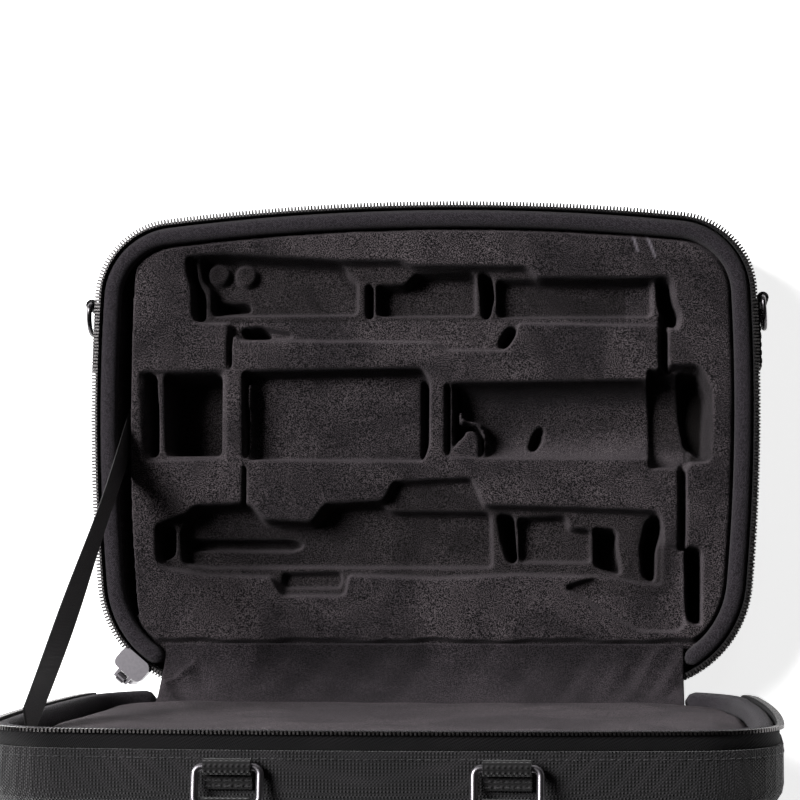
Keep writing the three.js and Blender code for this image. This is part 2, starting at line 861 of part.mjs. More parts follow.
// What stands in the recesses: a rounded post beside the bell with a curved lip round it, a lip along the
// middle compartment's left end, and two round pads for keys
const post_shares = [
  [0.093, -0.061], [0.093, 0.005], [0.118, 0.03], [0.126, 0.058], [0.142, 0.06], [0.16, 0.052],
  [0.171, 0.027], [0.173, -0.027], [0.168, -0.061],
];
const post_drop = 2.5;
const post_lip_shares = [
  [0.103, 0.145], [0.113, 0.14], [0.125, 0.104], [0.148, 0.1], [0.172, 0.087], [0.185, 0.054], [0.19, 0.012],
  [0.188, -0.03], [0.181, -0.062], [0.173, -0.062], [0.18, -0.027], [0.181, 0.01], [0.176, 0.047],
  [0.166, 0.073], [0.145, 0.082], [0.124, 0.083], [0.111, 0.078], [0.103, 0.09],
];
const post_lip_drop = 4;
const compartment_lip_shares = [[-0.534, 0.272], [-0.525, 0.265], [-0.524, -0.055], [-0.533, -0.055]];
const compartment_lip_drop = 1;
const pad_places_shares = [[-0.634, 0.73], [-0.551, 0.724]];
const pad_radius = 5.6;
const pad_drop = 12.5;

function insertStanding() {
  const post_foot = insert_top - bell_floor_depth - overrun;
  const post = prism(rounded(fromShares(post_shares)), post_foot, insert_top - post_drop);
  const post_lip = prism(rounded(fromShares(post_lip_shares)), post_foot, insert_top - post_lip_drop);
  const compartment_lip = prism(
    rounded(fromShares(compartment_lip_shares)),
    insert_top - trough_depth - overrun, insert_top - compartment_lip_drop,
  );
  const pads = pad_places_shares.map(([x, y]) => prism(
    circle(x * half_length, y * half_depth, pad_radius, pad_steps),
    insert_top - trough_depth - overrun, insert_top - pad_drop,
  ));
  return [post, post_lip, compartment_lip, ...pads];
}

function baseInsert() {
  const plain = filling(-1, base_height, ribbon_slot_depth);
  const cutters = [
    ...recesses.map(recessCutter),
    roundFloor(bell_floor_shares, bell_floor_radius, bell_floor_depth),
    roundFloor(bell_rim_shares, bell_rim_radius, bell_rim_depth),
  ];
  return joined([cut(plain, cutters), ...insertStanding()]);
}

// The lid's pad has the same ledge and slot, and a plain face that swells towards the closing plane
function lidPad() {
  const crown = ringed([
    [roll_clear + insert_edge_round + ribbon_slot_width, insert_drop + overrun],
    [roll_clear + insert_edge_round + ribbon_slot_width, insert_drop],
    [roll_clear + pad_crown_run / 2, insert_drop - pad_crown * 3 / 4],
    [roll_clear + pad_crown_run, insert_drop - pad_crown],
  ]);
  const swelling = cut(crown, [
    block(-half_length, half_length, -half_depth, insert_rear_y + insert_edge_round, 0, lid_height),
  ]);
  return joined([filling(1, lid_height, lid_slot_depth), swelling]);
}

piece(base, 'base_shell', shell(-1, base_height), looks.shell);
piece(base, 'base_board', board(-1, base_height), looks.board);
piece(base, 'base_insert', baseInsert(), looks.plush);
piece(base, 'base_rim_roll', roll(-1), looks.knit);
piece(base, 'base_zip_tape', tape(-1, zip_first_step), looks.tape);
piece(base, 'base_zip_chain', chain(-1, zip_first_step), looks.nickel);
piece(closed_lid, 'lid_shell', shell(1, lid_height), looks.shell);
piece(closed_lid, 'lid_board', board(1, lid_height), looks.board);
piece(closed_lid, 'lid_pad', lidPad(), looks.plush);
piece(closed_lid, 'lid_rim_roll', roll(1), looks.knit);
piece(closed_lid, 'lid_zip_tape', tape(1, lid_zip_first_step), looks.tape);
piece(closed_lid, 'lid_zip_chain', chain(1, lid_zip_first_step), looks.nickel);

// Stations along the rear corner, on the right or, mirrored, on the left
function rearCorner(from, to, steps, mirror) {
  return arc(rear_corner, rear_corner_radius, from, to, steps)
    .map((s) => ({ x: mirror * s.x, y: s.y, nx: mirror * s.nx, ny: s.ny }));
}

// The stops at the two ends of the base's chain
const zip_first_turn = Math.atan2(rim_stations[zip_first_step].ny, rim_stations[zip_first_step].nx);
for (const [name, mirror] of [['zip_stop_right', 1], ['zip_stop_left', -1]]) {
  const from = zip_first_turn - (clearance + zip_stop_length) / rear_corner_radius;
  const to = zip_first_turn - clearance / rear_corner_radius;
  const inner = zip_chain_inset + zip_chain_width;
  const top = -clearance / 2;
  const section = [
    [zip_chain_inset, top], [inner, top],
    [inner, top - zip_stop_height], [zip_chain_inset, top - zip_stop_height],
  ];
  piece(base, name, carried(section, rearCorner(from, to, 1, mirror)), looks.nickel);
}

// A strip of even thickness along +X over a path in the YZ plane
function strip(path, thickness, x0, x1) {
  const side = path.map((point, i) => {
    const before = path[Math.max(i - 1, 0)];
    const after = path[Math.min(i + 1, path.length - 1)];
    const along = after.clone().sub(before).normalize();
    return new THREE.Vector2(-along.y, along.x).multiplyScalar(thickness / 2);
  });
  const outline = [
    ...path.map((point, i) => point.clone().add(side[i])),
    ...path.map((point, i) => point.clone().sub(side[i])).reverse(),
  ];
  return loft([x0, x1].map((x) => outline.map((v) => new THREE.Vector3(x, v.x, v.y))), outline);
}

// The fabric spine outside: an arc about a point behind the hinge, tangent to both walls
const open_turn = THREE.MathUtils.degToRad(open_angle);
const spine_half = rear_corner.x + spine_overhang;
const spine_reach = zip_stand - clearance;
const spine_radius = spine_reach / Math.tan(open_turn / 2) + spine_inset;
const spine_centre = new THREE.Vector2(spine_inset - half_depth - spine_radius, -spine_reach);
const spine_path = Array.from({ length: spine_steps + 1 }, (_, i) => {
  const turn = open_turn * i / spine_steps;
  return new THREE.Vector2(
    spine_centre.x + spine_radius * Math.cos(turn),
    spine_centre.y + spine_radius * Math.sin(turn),
  );
});
piece(base, 'spine_panel', strip(spine_path, spine_thickness, -spine_half, spine_half), looks.shell);

// The plush lining inside: from the edge of the base's insert it sags, then climbs to the edge of the lid's
// pad
const lining_start = insert_rear_y + half_depth - clearance - lining_thickness / 2;
const lining_from = new THREE.Vector2(lining_start, -lining_drop);
const lining_to = new THREE.Vector2(lining_start, lining_drop).rotateAround(new THREE.Vector2(), open_turn);
const lining_curve = new THREE.QuadraticBezierCurve(
  lining_from, new THREE.Vector2(half_depth - lining_sag_y, -lining_sag_drop), lining_to,
);
const lining_path = lining_curve.getPoints(lining_steps).map((v) => new THREE.Vector2(v.x - half_depth, v.y));
const lining_half = rear_corner.x + lining_overhang;
const lining = strip(lining_path, lining_thickness, -lining_half, lining_half);
piece(base, 'hinge_lining', lining, looks.plush);

// The ribbon that holds the lid, straight through the closing planes of both halves. Its ends, cut square,
// go down to the floors of the two slots.
const ribbon_x = roll_clear - half_length + ribbon_slot_width - ribbon_side_gap - ribbon_thickness / 2;
const ribbon_foot = new THREE.Vector2(ribbon_foot_y, 0);
const ribbon_head = new THREE.Vector2(ribbon_head_radius, 0).rotateAround(new THREE.Vector2(), open_turn);
ribbon_head.x -= half_depth;
const ribbon_along = ribbon_head.clone().sub(ribbon_foot).normalize();
const ribbon_into_lid = ribbon_along.clone().rotateAround(new THREE.Vector2(), -open_turn);

function ribbonRoot(slotDepth, across, down) {
  return (slotDepth - clearance - ribbon_width / 2 * Math.abs(across)) / Math.abs(down);
}
const ribbon_start = ribbon_foot.clone()
  .addScaledVector(ribbon_along, -ribbonRoot(ribbon_slot_depth, ribbon_along.x, ribbon_along.y));
const ribbon_end = ribbon_head.clone()
  .addScaledVector(ribbon_along, ribbonRoot(lid_slot_depth, ribbon_into_lid.x, ribbon_into_lid.y));
const ribbon = new THREE.BoxGeometry(ribbon_thickness, ribbon_width, ribbon_start.distanceTo(ribbon_end));
ribbon.rotateX(Math.atan2(-ribbon_along.x, ribbon_along.y));
const ribbon_middle = ribbon_start.clone().add(ribbon_end).multiplyScalar(1 / 2);
ribbon.translate(ribbon_x, ribbon_middle.x, ribbon_middle.y);
piece(base, 'stay_ribbon', ribbon, looks.ribbon);

// The outline of a D ring in the XZ plane, its bar on the Z axis
function dRingPath() {
  const path = [];
  const straight = ring_half_height - ring_bend;
  for (let i = 0; i < bend_steps; i += 1) {
    const turn = Math.PI / 2 * i / bend_steps;
    path.push([ring_bend * (1 - Math.cos(turn)), straight + ring_bend * Math.sin(turn)]);
  }
  for (let i = 0; i <= ring_steps; i += 1) {
    const turn = Math.PI * i / ring_steps;
    path.push([ring_bend + (ring_depth - ring_bend) * Math.sin(turn), ring_half_height * Math.cos(turn)]);
  }
  for (let i = bend_steps - 1; i >= 0; i -= 1) {
    const turn = Math.PI / 2 * i / bend_steps;
    path.push([ring_bend * (1 - Math.cos(turn)), -straight - ring_bend * Math.sin(turn)]);
  }
  return path.map(([x, z]) => new THREE.Vector3(x, 0, z));
}

// The strap rings on the ends: a tail of webbing on the wall, the loop, and a D ring folded back along the
// tail
function endStation(y) {
  const turn = Math.asin((y - end_centre.y) / end_bow_radius);
  return arc(end_centre, end_bow_radius, turn, turn, 1)[0];
}
const ring_middle_z = -ring_drop;
const tab_bore_radius = ring_wire + bore_gap;
const tab_loop_radius = tab_bore_radius + tab_loop_wall;
const ring_inset = -clearance - tab_loop_radius;
const ring_station = endStation(ring_y);
for (const [side_name, mirror] of [['right', 1], ['left', -1]]) {
  const knob = rimPoint(ring_station, ring_inset, ring_middle_z);
  const tail_turns = [ring_y - tab_length, ring_y].map((y) => Math.asin((y - end_centre.y) / end_bow_radius));
  const low = ring_middle_z - tab_height / 2;
  const high = ring_middle_z + tab_height / 2;
  const near = -clearance;
  const far = near - tab_thickness;
  const tail = carried([[near, low], [near, high], [far, high], [far, low]],
    arc(end_centre, end_bow_radius, ...tail_turns, tail_steps));
  const loop = prism(circle(knob.x, knob.y, tab_loop_radius, bore_steps), low, high);
  const bore = prism(circle(knob.x, knob.y, tab_bore_radius, bore_steps), low - overrun, high + overrun);
  const tab = cut(joined([tail, loop]), [bore]);
  const ring = wireLoop(dRingPath(), ring_wire);
  ring.rotateZ(THREE.MathUtils.degToRad(ring_rest_angle) - Math.PI / 2);
  ring.translate(knob.x, knob.y, knob.z);
  for (const geometry of [tab, ring]) {
    if (mirror < 0) {
      geometry.scale(-1, 1, 1);
      facingOut(geometry);
    }
  }
  piece(base, `tab_${side_name}`, tab, looks.webbing);
  piece(base, `d_ring_${side_name}`, ring, looks.nickel);
}

// The slider, built about the corner's centre with +X pointing out of the case, then turned to its place
const slider_place = new THREE.Group();
slider_place.position.set(-rear_corner.x, rear_corner.y, 0);
slider_place.rotation.z = -Math.PI / 2 - THREE.MathUtils.degToRad(slider_angle);
base.add(slider_place);
const slider_top = slider_rise + slider_plate;
const slider_under = -tape_top;
const slider_lip_inset = zip_tape_inset - clearance;
const slider_half_turn = slider_length / 2 / rear_corner_radius;
const slider_section = [
  [-slider_outreach, slider_top], [slider_inreach, slider_top], [slider_inreach, slider_rise],
  [slider_core_inset, slider_rise], [slider_core_inset, slider_under], [slider_lip_inset, slider_under],
  [slider_lip_inset, slider_under - slider_plate], [-slider_outreach, slider_under - slider_plate],
];
const slider_block = carried(slider_section,
  arc({ x: 0, y: 0 }, rear_corner_radius, -slider_half_turn, slider_half_turn, slider_steps));
const slider_span = slider_outreach + slider_inreach;
const slider_plan = roundedRectangle(slider_span, slider_length, slider_corner_radius, round_steps)
  .map((v) => v.add(new THREE.Vector2(rear_corner_radius + slider_outreach - slider_span / 2, 0)));
const slider_edge = rear_corner_radius + slider_outreach;
const pull_eye_bore = pin_radius + bore_gap;
const pull_eye_radius = pull_eye_bore + pull_eye_wall;
const pin_x = slider_edge + pull_eye_radius + clearance;
const pin_z = slider_rise + slider_plate / 2;
const ears = [-1, 1].map((hand) => block(
  slider_edge - slider_corner_radius, pin_x + ear_end,
  hand * ear_gap / 2, hand * (ear_gap / 2 + ear_thickness), slider_rise, slider_top,
));
const pin_half = ear_gap / 2 + ear_thickness / 2;
const pin = rod(-pin_half, pin_half, 0, 0, pin_radius, bore_steps).rotateZ(Math.PI / 2)
  .translate(pin_x, 0, pin_z);
const slider_column = prism(slider_plan, slider_under - slider_plate - overrun, slider_top + overrun);
const slider_body = common(slider_block, slider_column);
piece(slider_place, 'zip_slider', joined([slider_body, ...ears, pin]), looks.nickel);

// The pull hangs from the pin: an eye, a neck and a slotted tongue
const tongue_length = pull_length - pull_neck_length;
const pull_tongue = roundedRectangle(pull_width, tongue_length, pull_corner_radius, round_steps)
  .map((v) => v.add(new THREE.Vector2(0, -(pull_length + pull_neck_length) / 2)));
const pull_slot = roundedRectangle(pull_slot_width, pull_slot_length, pull_slot_width / 2, round_steps)
  .map((v) => v.add(new THREE.Vector2(0, -pull_slot_drop)));
const pull_neck = block(-pull_neck_width / 2, pull_neck_width / 2, -pull_neck_length - pull_corner_radius, 0,
  -pull_thickness / 2, pull_thickness / 2);
const pull_flat = cut(
  joined([prism(pull_tongue, -pull_thickness / 2, pull_thickness / 2), pull_neck]),
  [prism(pull_slot, -pull_thickness, pull_thickness)],
);
const pull_eye = rod(-pull_neck_width / 2, pull_neck_width / 2, 0, 0, pull_eye_radius, bore_steps);
const pull_bore = rod(-pull_neck_width, pull_neck_width, 0, 0, pull_eye_bore, bore_steps);
const pull = cut(joined([pull_flat, pull_eye]), [pull_bore]);
pull.rotateX(Math.PI / 2);
pull.rotateZ(Math.PI / 2);
pull.translate(pin_x, 0, pin_z);
piece(slider_place, 'zip_pull', pull, looks.nickel);

// The handle: two tabs on the lid's front wall, and a padded grip that hangs on their rings. It is built
// about the rings' bars with +Z pointing away from them along the wall.
const handle_bore_radius = handle_wire + bore_gap;
const handle_loop_radius = handle_bore_radius + handle_webbing;
const handle_inner_x = handle_spread - handle_bar_half;
const handle_wall_y = front_centre.y + Math.sqrt(front_bow_radius ** 2 - handle_inner_x ** 2);
const handle_axis_y = handle_wall_y + clearance + handle_loop_radius;
const handle = new THREE.Group();
handle.position.set(0, handle_axis_y, handle_height);
handle.rotation.x = -THREE.MathUtils.degToRad(handle_rest_angle);
closed_lid.add(handle);

function barLoop(middle, z, radius, extra) {
  const half = handle_tab_width / 2 + extra;
  return rod(middle - half, middle + half, 0, z, radius, bore_steps);
}

for (const [side_name, hand] of [['right', 1], ['left', -1]]) {
  const middle = hand * handle_spread;
  const plate = block(middle - handle_tab_width / 2, middle + handle_tab_width / 2,
    -handle_loop_radius, handle_webbing - handle_loop_radius, 0, handle_tab_length);
  const tab = cut(joined([plate, barLoop(middle, 0, handle_loop_radius, 0)]),
    [barLoop(middle, 0, handle_bore_radius, overrun)]);
  tab.translate(0, handle_axis_y, handle_height);
  piece(closed_lid, `handle_tab_${side_name}`, tab, looks.webbing);

  const path = roundedRectangle(2 * handle_bar_half, handle_ring_length, handle_ring_bend, bend_steps)
    .map((v) => new THREE.Vector3(middle + v.x, 0, v.y + handle_ring_length / 2));
  piece(handle, `handle_ring_${side_name}`, wireLoop(path, handle_wire), looks.nickel);
}

// The grip: a padded bar, fullest in the middle, with a strap at each end round its ring
const grip_end_share = 0.72;
const grip_shares = [
  [-0.5, grip_end_share], [-0.46, 0.94], [-0.3, 1], [0.3, 1], [0.46, 0.94], [0.5, grip_end_share],
];
const grip_outlines = grip_shares.map(([place, fullness]) => roundedRectangle(
  grip_thickness * fullness, grip_width * fullness, grip_round * fullness, bend_steps,
).map((v) => new THREE.Vector3(place * grip_length, v.x, grip_swing_radius + v.y)));
const grip_body = loft(grip_outlines, grip_outlines[0].map((v) => new THREE.Vector2(v.y, v.z)));
const grip_straps = [-1, 1].map((hand) => block(
  hand * handle_spread - handle_tab_width / 2, hand * handle_spread + handle_tab_width / 2,
  -grip_strap_thickness / 2, grip_strap_thickness / 2, handle_ring_length, grip_swing_radius,
));
const grip_loops = [-1, 1].map((hand) => barLoop(
  hand * handle_spread, handle_ring_length, handle_loop_radius, 0,
));
const grip_bores = [-1, 1].map((hand) => barLoop(
  hand * handle_spread, handle_ring_length, handle_bore_radius, overrun,
));
const grip = cut(joined([grip_body, ...grip_straps, ...grip_loops]), grip_bores);
piece(handle, 'handle_grip', grip, looks.webbing);

export default group;
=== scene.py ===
import math
import bmesh
import bpy
import numpy as np
from mathutils import Matrix, Vector
from mathutils.bvhtree import BVHTree


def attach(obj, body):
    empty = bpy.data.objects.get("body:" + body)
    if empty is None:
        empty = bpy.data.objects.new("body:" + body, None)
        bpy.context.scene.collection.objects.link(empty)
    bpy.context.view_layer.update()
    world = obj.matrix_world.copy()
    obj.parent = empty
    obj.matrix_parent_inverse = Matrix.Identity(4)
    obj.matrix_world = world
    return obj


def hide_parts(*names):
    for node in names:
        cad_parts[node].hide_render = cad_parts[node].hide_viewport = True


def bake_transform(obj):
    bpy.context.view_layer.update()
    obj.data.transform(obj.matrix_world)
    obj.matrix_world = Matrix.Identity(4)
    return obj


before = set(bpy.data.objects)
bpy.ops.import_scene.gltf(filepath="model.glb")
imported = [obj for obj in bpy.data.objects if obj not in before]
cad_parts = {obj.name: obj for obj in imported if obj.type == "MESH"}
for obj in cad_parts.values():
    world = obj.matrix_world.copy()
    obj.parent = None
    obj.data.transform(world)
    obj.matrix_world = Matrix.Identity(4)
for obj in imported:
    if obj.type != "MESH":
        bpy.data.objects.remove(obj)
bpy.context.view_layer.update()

# The camera hangs almost straight over the open base, tipped a little towards the hinge and the right end, so that
# the standing lid runs out of the picture at the bottom.
camera_aim = Vector((-0.0107, 0.0211, 0.052))
camera_distance = 1.25
camera_tilt_right = math.radians(5.5)
camera_tilt_rear = math.radians(6.5)
camera_roll = 0.0033
back = Vector((math.sin(camera_tilt_right), -math.sin(camera_tilt_rear), 0))
back.z = math.sqrt(1 - back.length_squared)
level_right = Vector((0, 1, 0)).cross(back).normalized()
level_up = back.cross(level_right)
right = math.cos(camera_roll) * level_right + math.sin(camera_roll) * level_up
up = back.cross(right)
photo_width = 800
focal_length_pixels = 2537.5


def place_object(name, data):
    obj = bpy.data.objects.new(name, data)
    bpy.context.scene.collection.objects.link(obj)
    return obj


camera_data = bpy.data.cameras.new("camera")
camera_data.sensor_width = 36
camera_data.lens = focal_length_pixels / photo_width * camera_data.sensor_width
camera_data.clip_start = 0.05
camera = place_object("camera", camera_data)
camera.matrix_world = Matrix.Translation(camera_aim + camera_distance * back) @ Matrix(
    (right, up, back)).transposed().to_4x4()
bpy.context.scene.camera = camera


# The studio: a white table that glows a little, as a lit sweep does, and soft light with the main light high over
# the picture's left. Nothing here is part of the case.
def new_material(name):
    """A material with an empty Principled BSDF; gives the material, its node tree and the shader."""
    m = bpy.data.materials.new(name)
    m.use_nodes = True
    return m, m.node_tree, m.node_tree.nodes["Principled BSDF"]


def set_inputs(node, **values):
    """Sets a node's sockets by name, with _ for each space in a socket's name."""
    for socket, value in values.items():
        node.inputs[socket.replace("_", " ")].default_value = value


def linear(r, g, b):
    """A colour from 0 to 255, as seen on screen, for a shader's socket."""
    return tuple(((c / 255 + 0.055) / 1.055) ** 2.4 if c > 10 else c / 255 / 12.92 for c in (r, g, b)) + (1,)


def mesh_object(name, points, faces, material, run_map=None):
    """A smooth mesh object, with the run and girth of each face corner as UV where they are given."""
    mesh = bpy.data.meshes.new(name)
    mesh.from_pydata([tuple(p) for p in points], [], faces)
    mesh.polygons.foreach_set("use_smooth", [True] * len(mesh.polygons))
    if run_map is not None:
        mesh.uv_layers.new(name="run").data.foreach_set("uv", np.array(run_map, np.float32).ravel())
    mesh.materials.append(material)
    return place_object(name, mesh)


table_size = 20
table_white, tree, shader = new_material("table")
set_inputs(shader, Base_Color=linear(250, 250, 250), Roughness=0.9, Emission_Color=(1, 1, 1, 1), Emission_Strength=0.8)
table_top = mesh_object("table_top", [(x * table_size, y * table_size, 0) for x, y in (
    (-1, -1), (1, -1), (1, 1), (-1, 1))], [(0, 1, 2, 3)], table_white)

# Behind the table the room is pale to the camera, and nearly dark to the case, so that its blacks stay black
world = bpy.data.worlds.new("studio")
world.use_nodes = True
room = world.node_tree
seen = room.nodes.new("ShaderNodeLightPath")
brightness = room.nodes.new("ShaderNodeMapRange")
set_inputs(brightness, To_Min=0.02, To_Max=0.95)
set_inputs(room.nodes["Background"], Color=(1, 1, 1, 1))
room.links.new(seen.outputs["Is Camera Ray"], brightness.inputs["Value"])
room.links.new(brightness.outputs["Result"], room.nodes["Background"].inputs["Strength"])
bpy.context.scene.world = world
bpy.context.scene.view_settings.view_transform = "Standard"


def area_light(name, place, size, power):
    data = bpy.data.lights.new(name, "AREA")
    data.shape = "RECTANGLE"
    data.size, data.size_y = size
    data.energy = power
    light = place_object(name, data)
    light.location = place
    light.rotation_euler = (light_aim - light.location).to_track_quat("-Z", "Y").to_euler()


light_aim = Vector((0, 0, 0.05))
area_light("main_light", (-1.95, 0.8, 2.35), (1.1, 1.5), 225)
area_light("front_light", (0.5, 1.9, 0.9), (0.9, 0.9), 3)

# The two shells: moulded trays covered with tight black woven cloth. Their plan is bowed at the front and the ends,
# straight along the hinge, with four round corners. Their solids have the real form, so they only get the cloth.
case_half_length = 0.165
case_half_depth = 0.120
front_bow_radius = 1.160
end_bow_radius = 1.020
end_widest_y = 0.029
front_corner_radius = 0.040
rear_corner_radius = 0.055
closing_plane = 0.052
open_angle = math.radians(94)
hinge = (0, -case_half_depth, closing_plane)
UPRIGHT = Matrix.Translation((0, 0, closing_plane))
LID = Matrix.Translation(hinge) @ Matrix.Rotation(open_angle, 4, "X") @ Matrix.Translation((0, case_half_depth, 0))
BOTH_HALVES = (("base", -1, UPRIGHT), ("lid", 1, LID))

end_centre = np.array((case_half_length - end_bow_radius, end_widest_y))
front_centre = np.array((0, case_half_depth - front_bow_radius))
rear_corner_y = rear_corner_radius - case_half_depth
rear_corner = np.array((end_centre[0] + math.sqrt(
    (end_bow_radius - rear_corner_radius) ** 2 - (rear_corner_y - end_widest_y) ** 2), rear_corner_y))


def between_bows():
    """The centre of the front corner, where the front's bow and the end's bow are joined."""
    first, second = front_bow_radius - front_corner_radius, end_bow_radius - front_corner_radius
    apart = np.linalg.norm(end_centre - front_centre)
    along = (first ** 2 - second ** 2 + apart ** 2) / (2 * apart)
    across = math.sqrt(first ** 2 - along ** 2)
    way = (end_centre - front_centre) / apart
    return front_centre + way * along + np.array((way[1], -way[0])) * across


front_corner = between_bows()


def heading(start, end):
    return math.atan2(end[1] - start[1], end[0] - start[0])


rear_join = heading(end_centre, rear_corner)
front_join = heading(end_centre, front_corner)
bow_join = heading(front_centre, front_corner)


def along_rim(first_turn, spacing):
    """Rows of x, y and the direction out of the case, from the rear right corner by the front to the rear left."""
    rows = []
    for centre, radius, start, stop in ((rear_corner, rear_corner_radius, first_turn, rear_join),
                                        (end_centre, end_bow_radius, rear_join, front_join),
                                        (front_corner, front_corner_radius, front_join, bow_join),
                                        (front_centre, front_bow_radius, bow_join, math.pi / 2)):
        count = max(2, round(abs(stop - start) * radius / spacing))
        for i in range(count):
            turn = start + (stop - start) * i / count
            out = (math.cos(turn), math.sin(turn))
            rows.append((centre[0] + radius * out[0], centre[1] + radius * out[1], *out))
    half = np.array(rows)
    middle = np.array([[0, case_half_depth, 0, 1]])
    return np.vstack([half, middle, half[::-1] * np.array([-1, 1, -1, 1])])


def shader_group(name, ins, outs):
    """A shader node group with float inputs and outputs; gives the tree, its input, output and coordinate nodes."""
    tree = bpy.data.node_groups.new(name, "ShaderNodeTree")
    for socket, value in ins:
        tree.interface.new_socket(socket, in_out="INPUT", socket_type="NodeSocketFloat").default_value = value
    for socket in outs:
        tree.interface.new_socket(socket, in_out="OUTPUT", socket_type="NodeSocketFloat")
    return (tree, *(tree.nodes.new(kind) for kind in ("NodeGroupInput", "NodeGroupOutput", "ShaderNodeTexCoord")))


def join(tree, value, socket):
    """Sets a socket to a number or a colour, or links what feeds it."""
    if isinstance(value, bpy.types.NodeSocket):
        tree.links.new(value, socket)
    else:
        socket.default_value = value


def math_node(tree, operation, *values):
    node = tree.nodes.new("ShaderNodeMath")
    node.operation = operation
    for value, socket in zip(values, node.inputs):
        join(tree, value, socket)
    return node.outputs[0]


def noise_node(tree, scale, detail, roughness=0.5, distortion=0):
    place = tree.nodes.new("ShaderNodeTexCoord")
    noise = tree.nodes.new("ShaderNodeTexNoise")
    set_inputs(noise, Detail=detail, Roughness=roughness, Distortion=distortion)
    join(tree, scale, noise.inputs["Scale"])
    tree.links.new(place.outputs["Object"], noise.inputs["Vector"])
    return noise.outputs[0]


def threads_wave(tree, place, count):
    """Threads lying side by side, count of them to the metre: one up, the next down."""
    return math_node(tree, "SINE", math_node(tree, "MULTIPLY", math_node(tree, "MULTIPLY", place, count), math.pi))


# Woven cloth on any face: two sets of threads over and under each other, with the thread count given per metre
weave, weave_in, weave_out, place = shader_group("woven_threads", [("Threads", 1500)], ["Height"])
split = weave.nodes.new("ShaderNodeSeparateXYZ")
weave.links.new(place.outputs["Object"], split.inputs[0])
waves = [threads_wave(weave, split.outputs[axis], weave_in.outputs["Threads"]) for axis in range(3)]
pairs = [math_node(weave, "MULTIPLY", waves[i], waves[(i + 1) % 3]) for i in range(3)]
total = math_node(weave, "ADD", math_node(weave, "ADD", pairs[0], pairs[1]), pairs[2])
weave.links.new(total, weave_out.inputs["Height"])


def place_group(tree, group, **values):
    node = tree.nodes.new("ShaderNodeGroup")
    node.node_tree = group
    set_inputs(node, **values)
    return node.outputs


def add_bump(tree, shader, height, distance):
    bump = tree.nodes.new("ShaderNodeBump")
    set_inputs(bump, Distance=distance, Strength=1)
    tree.links.new(height, bump.inputs["Height"])
    tree.links.new(bump.outputs[0], shader.inputs["Normal"])


def mix_colours(tree, mask, first, second):
    mix = tree.nodes.new("ShaderNodeMix")
    mix.data_type = "RGBA"
    for value, socket in ((mask, "Factor"), (first, "A"), (second, "B")):
        join(tree, value, mix.inputs[socket])
    return mix.outputs["Result"]


def ramp(tree, value, low, high):
    node = tree.nodes.new("ShaderNodeMapRange")
    node.interpolation_type = "SMOOTHSTEP"
    set_inputs(node, From_Min=low, From_Max=high)
    tree.links.new(value, node.inputs["Value"])
    return node.outputs["Result"]


gap_depth = 0.45
shell_mottle = (40, 0.3, 0.7)


def cloth_material(name, dark, light, threads, bump, sheen, roughness=0.8, mottle=shell_mottle, gap_from=-0.9,
                   shine=0.15, nap=0.5, group=weave):
    """Woven cloth: threads gives the group's counts, mottle the scale and the two ends of its uneven dye."""
    m, tree, shader = new_material(name)
    height = place_group(tree, group, **threads)["Height"]
    uneven = ramp(tree, noise_node(tree, mottle[0], 4), *mottle[1:])
    lit = mix_colours(tree, uneven, linear(*dark), linear(*light))
    between = ramp(tree, height, gap_from, 0.5)
    shade = mix_colours(tree, between, linear(*(gap_depth * c for c in dark)), lit)
    tree.links.new(shade, shader.inputs["Base Color"])
    set_inputs(shader, Roughness=roughness, Specular_IOR_Level=shine, Sheen_Weight=sheen, Sheen_Roughness=nap)
    add_bump(tree, shader, height, bump)
    return m


def dress(material, *nodes):
    """Gives nodes that keep their own shape a better material."""
    for node in nodes:
        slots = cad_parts[node].data.materials
        slots.clear()
        slots.append(material)


shell_cloth = cloth_material("shell_cloth", (27, 26, 28), (38, 36, 38), {"Threads": 1400}, 0.00016, 0.15)
dress(shell_cloth, "base_shell", "lid_shell")

# The stiffening boards under the linings: grey-brown pressed fibre, hidden in the finished case.
pressed_fibre, tree, shader = new_material("pressed_board")
fibre = ramp(tree, noise_node(tree, 900, 6), 0.35, 0.65)
tree.links.new(mix_colours(tree, fibre, linear(60, 56, 52), linear(82, 76, 70)), shader.inputs["Base Color"])
set_inputs(shader, Roughness=0.85)
add_bump(tree, shader, fibre, 0.0001)
dress(pressed_fibre, "base_board", "lid_board")


# The base's insert: foam moulded to the instrument's joints and flocked with short dark plush. Every edge of the
# mould is rounded by the pile, so the piece is the solid's own relief, softened.
probe_length = 0.1


def relief(node, side, spacing, soften, into):
    """Heights of a node's face along a square grid, seen from the closing plane, measured twice as finely and then
    averaged; into maps a grid place to world."""
    mesh = bmesh.new()
    mesh.from_mesh(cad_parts[node].data)
    mesh.transform(into.inverted())
    tree = BVHTree.FromBMesh(mesh)
    mesh.free()
    fine = spacing / 2
    xs = np.arange(-case_half_length, case_half_length + fine, fine)
    ys = np.arange(-case_half_depth, case_half_depth + fine, fine)
    heights = np.full((len(ys), len(xs)), np.nan)
    for j, y in enumerate(ys):
        for i, x in enumerate(xs):
            hit = tree.ray_cast((x, y, 0), (0, 0, side), probe_length)[0]
            if hit is not None:
                heights[j, i] = hit.z
    there = ~np.isnan(heights)
    smooth = softened_field(np.where(there, heights, 0.0), there, soften / fine)
    return xs[::2], ys[::2], there[::2, ::2], smooth[::2, ::2]


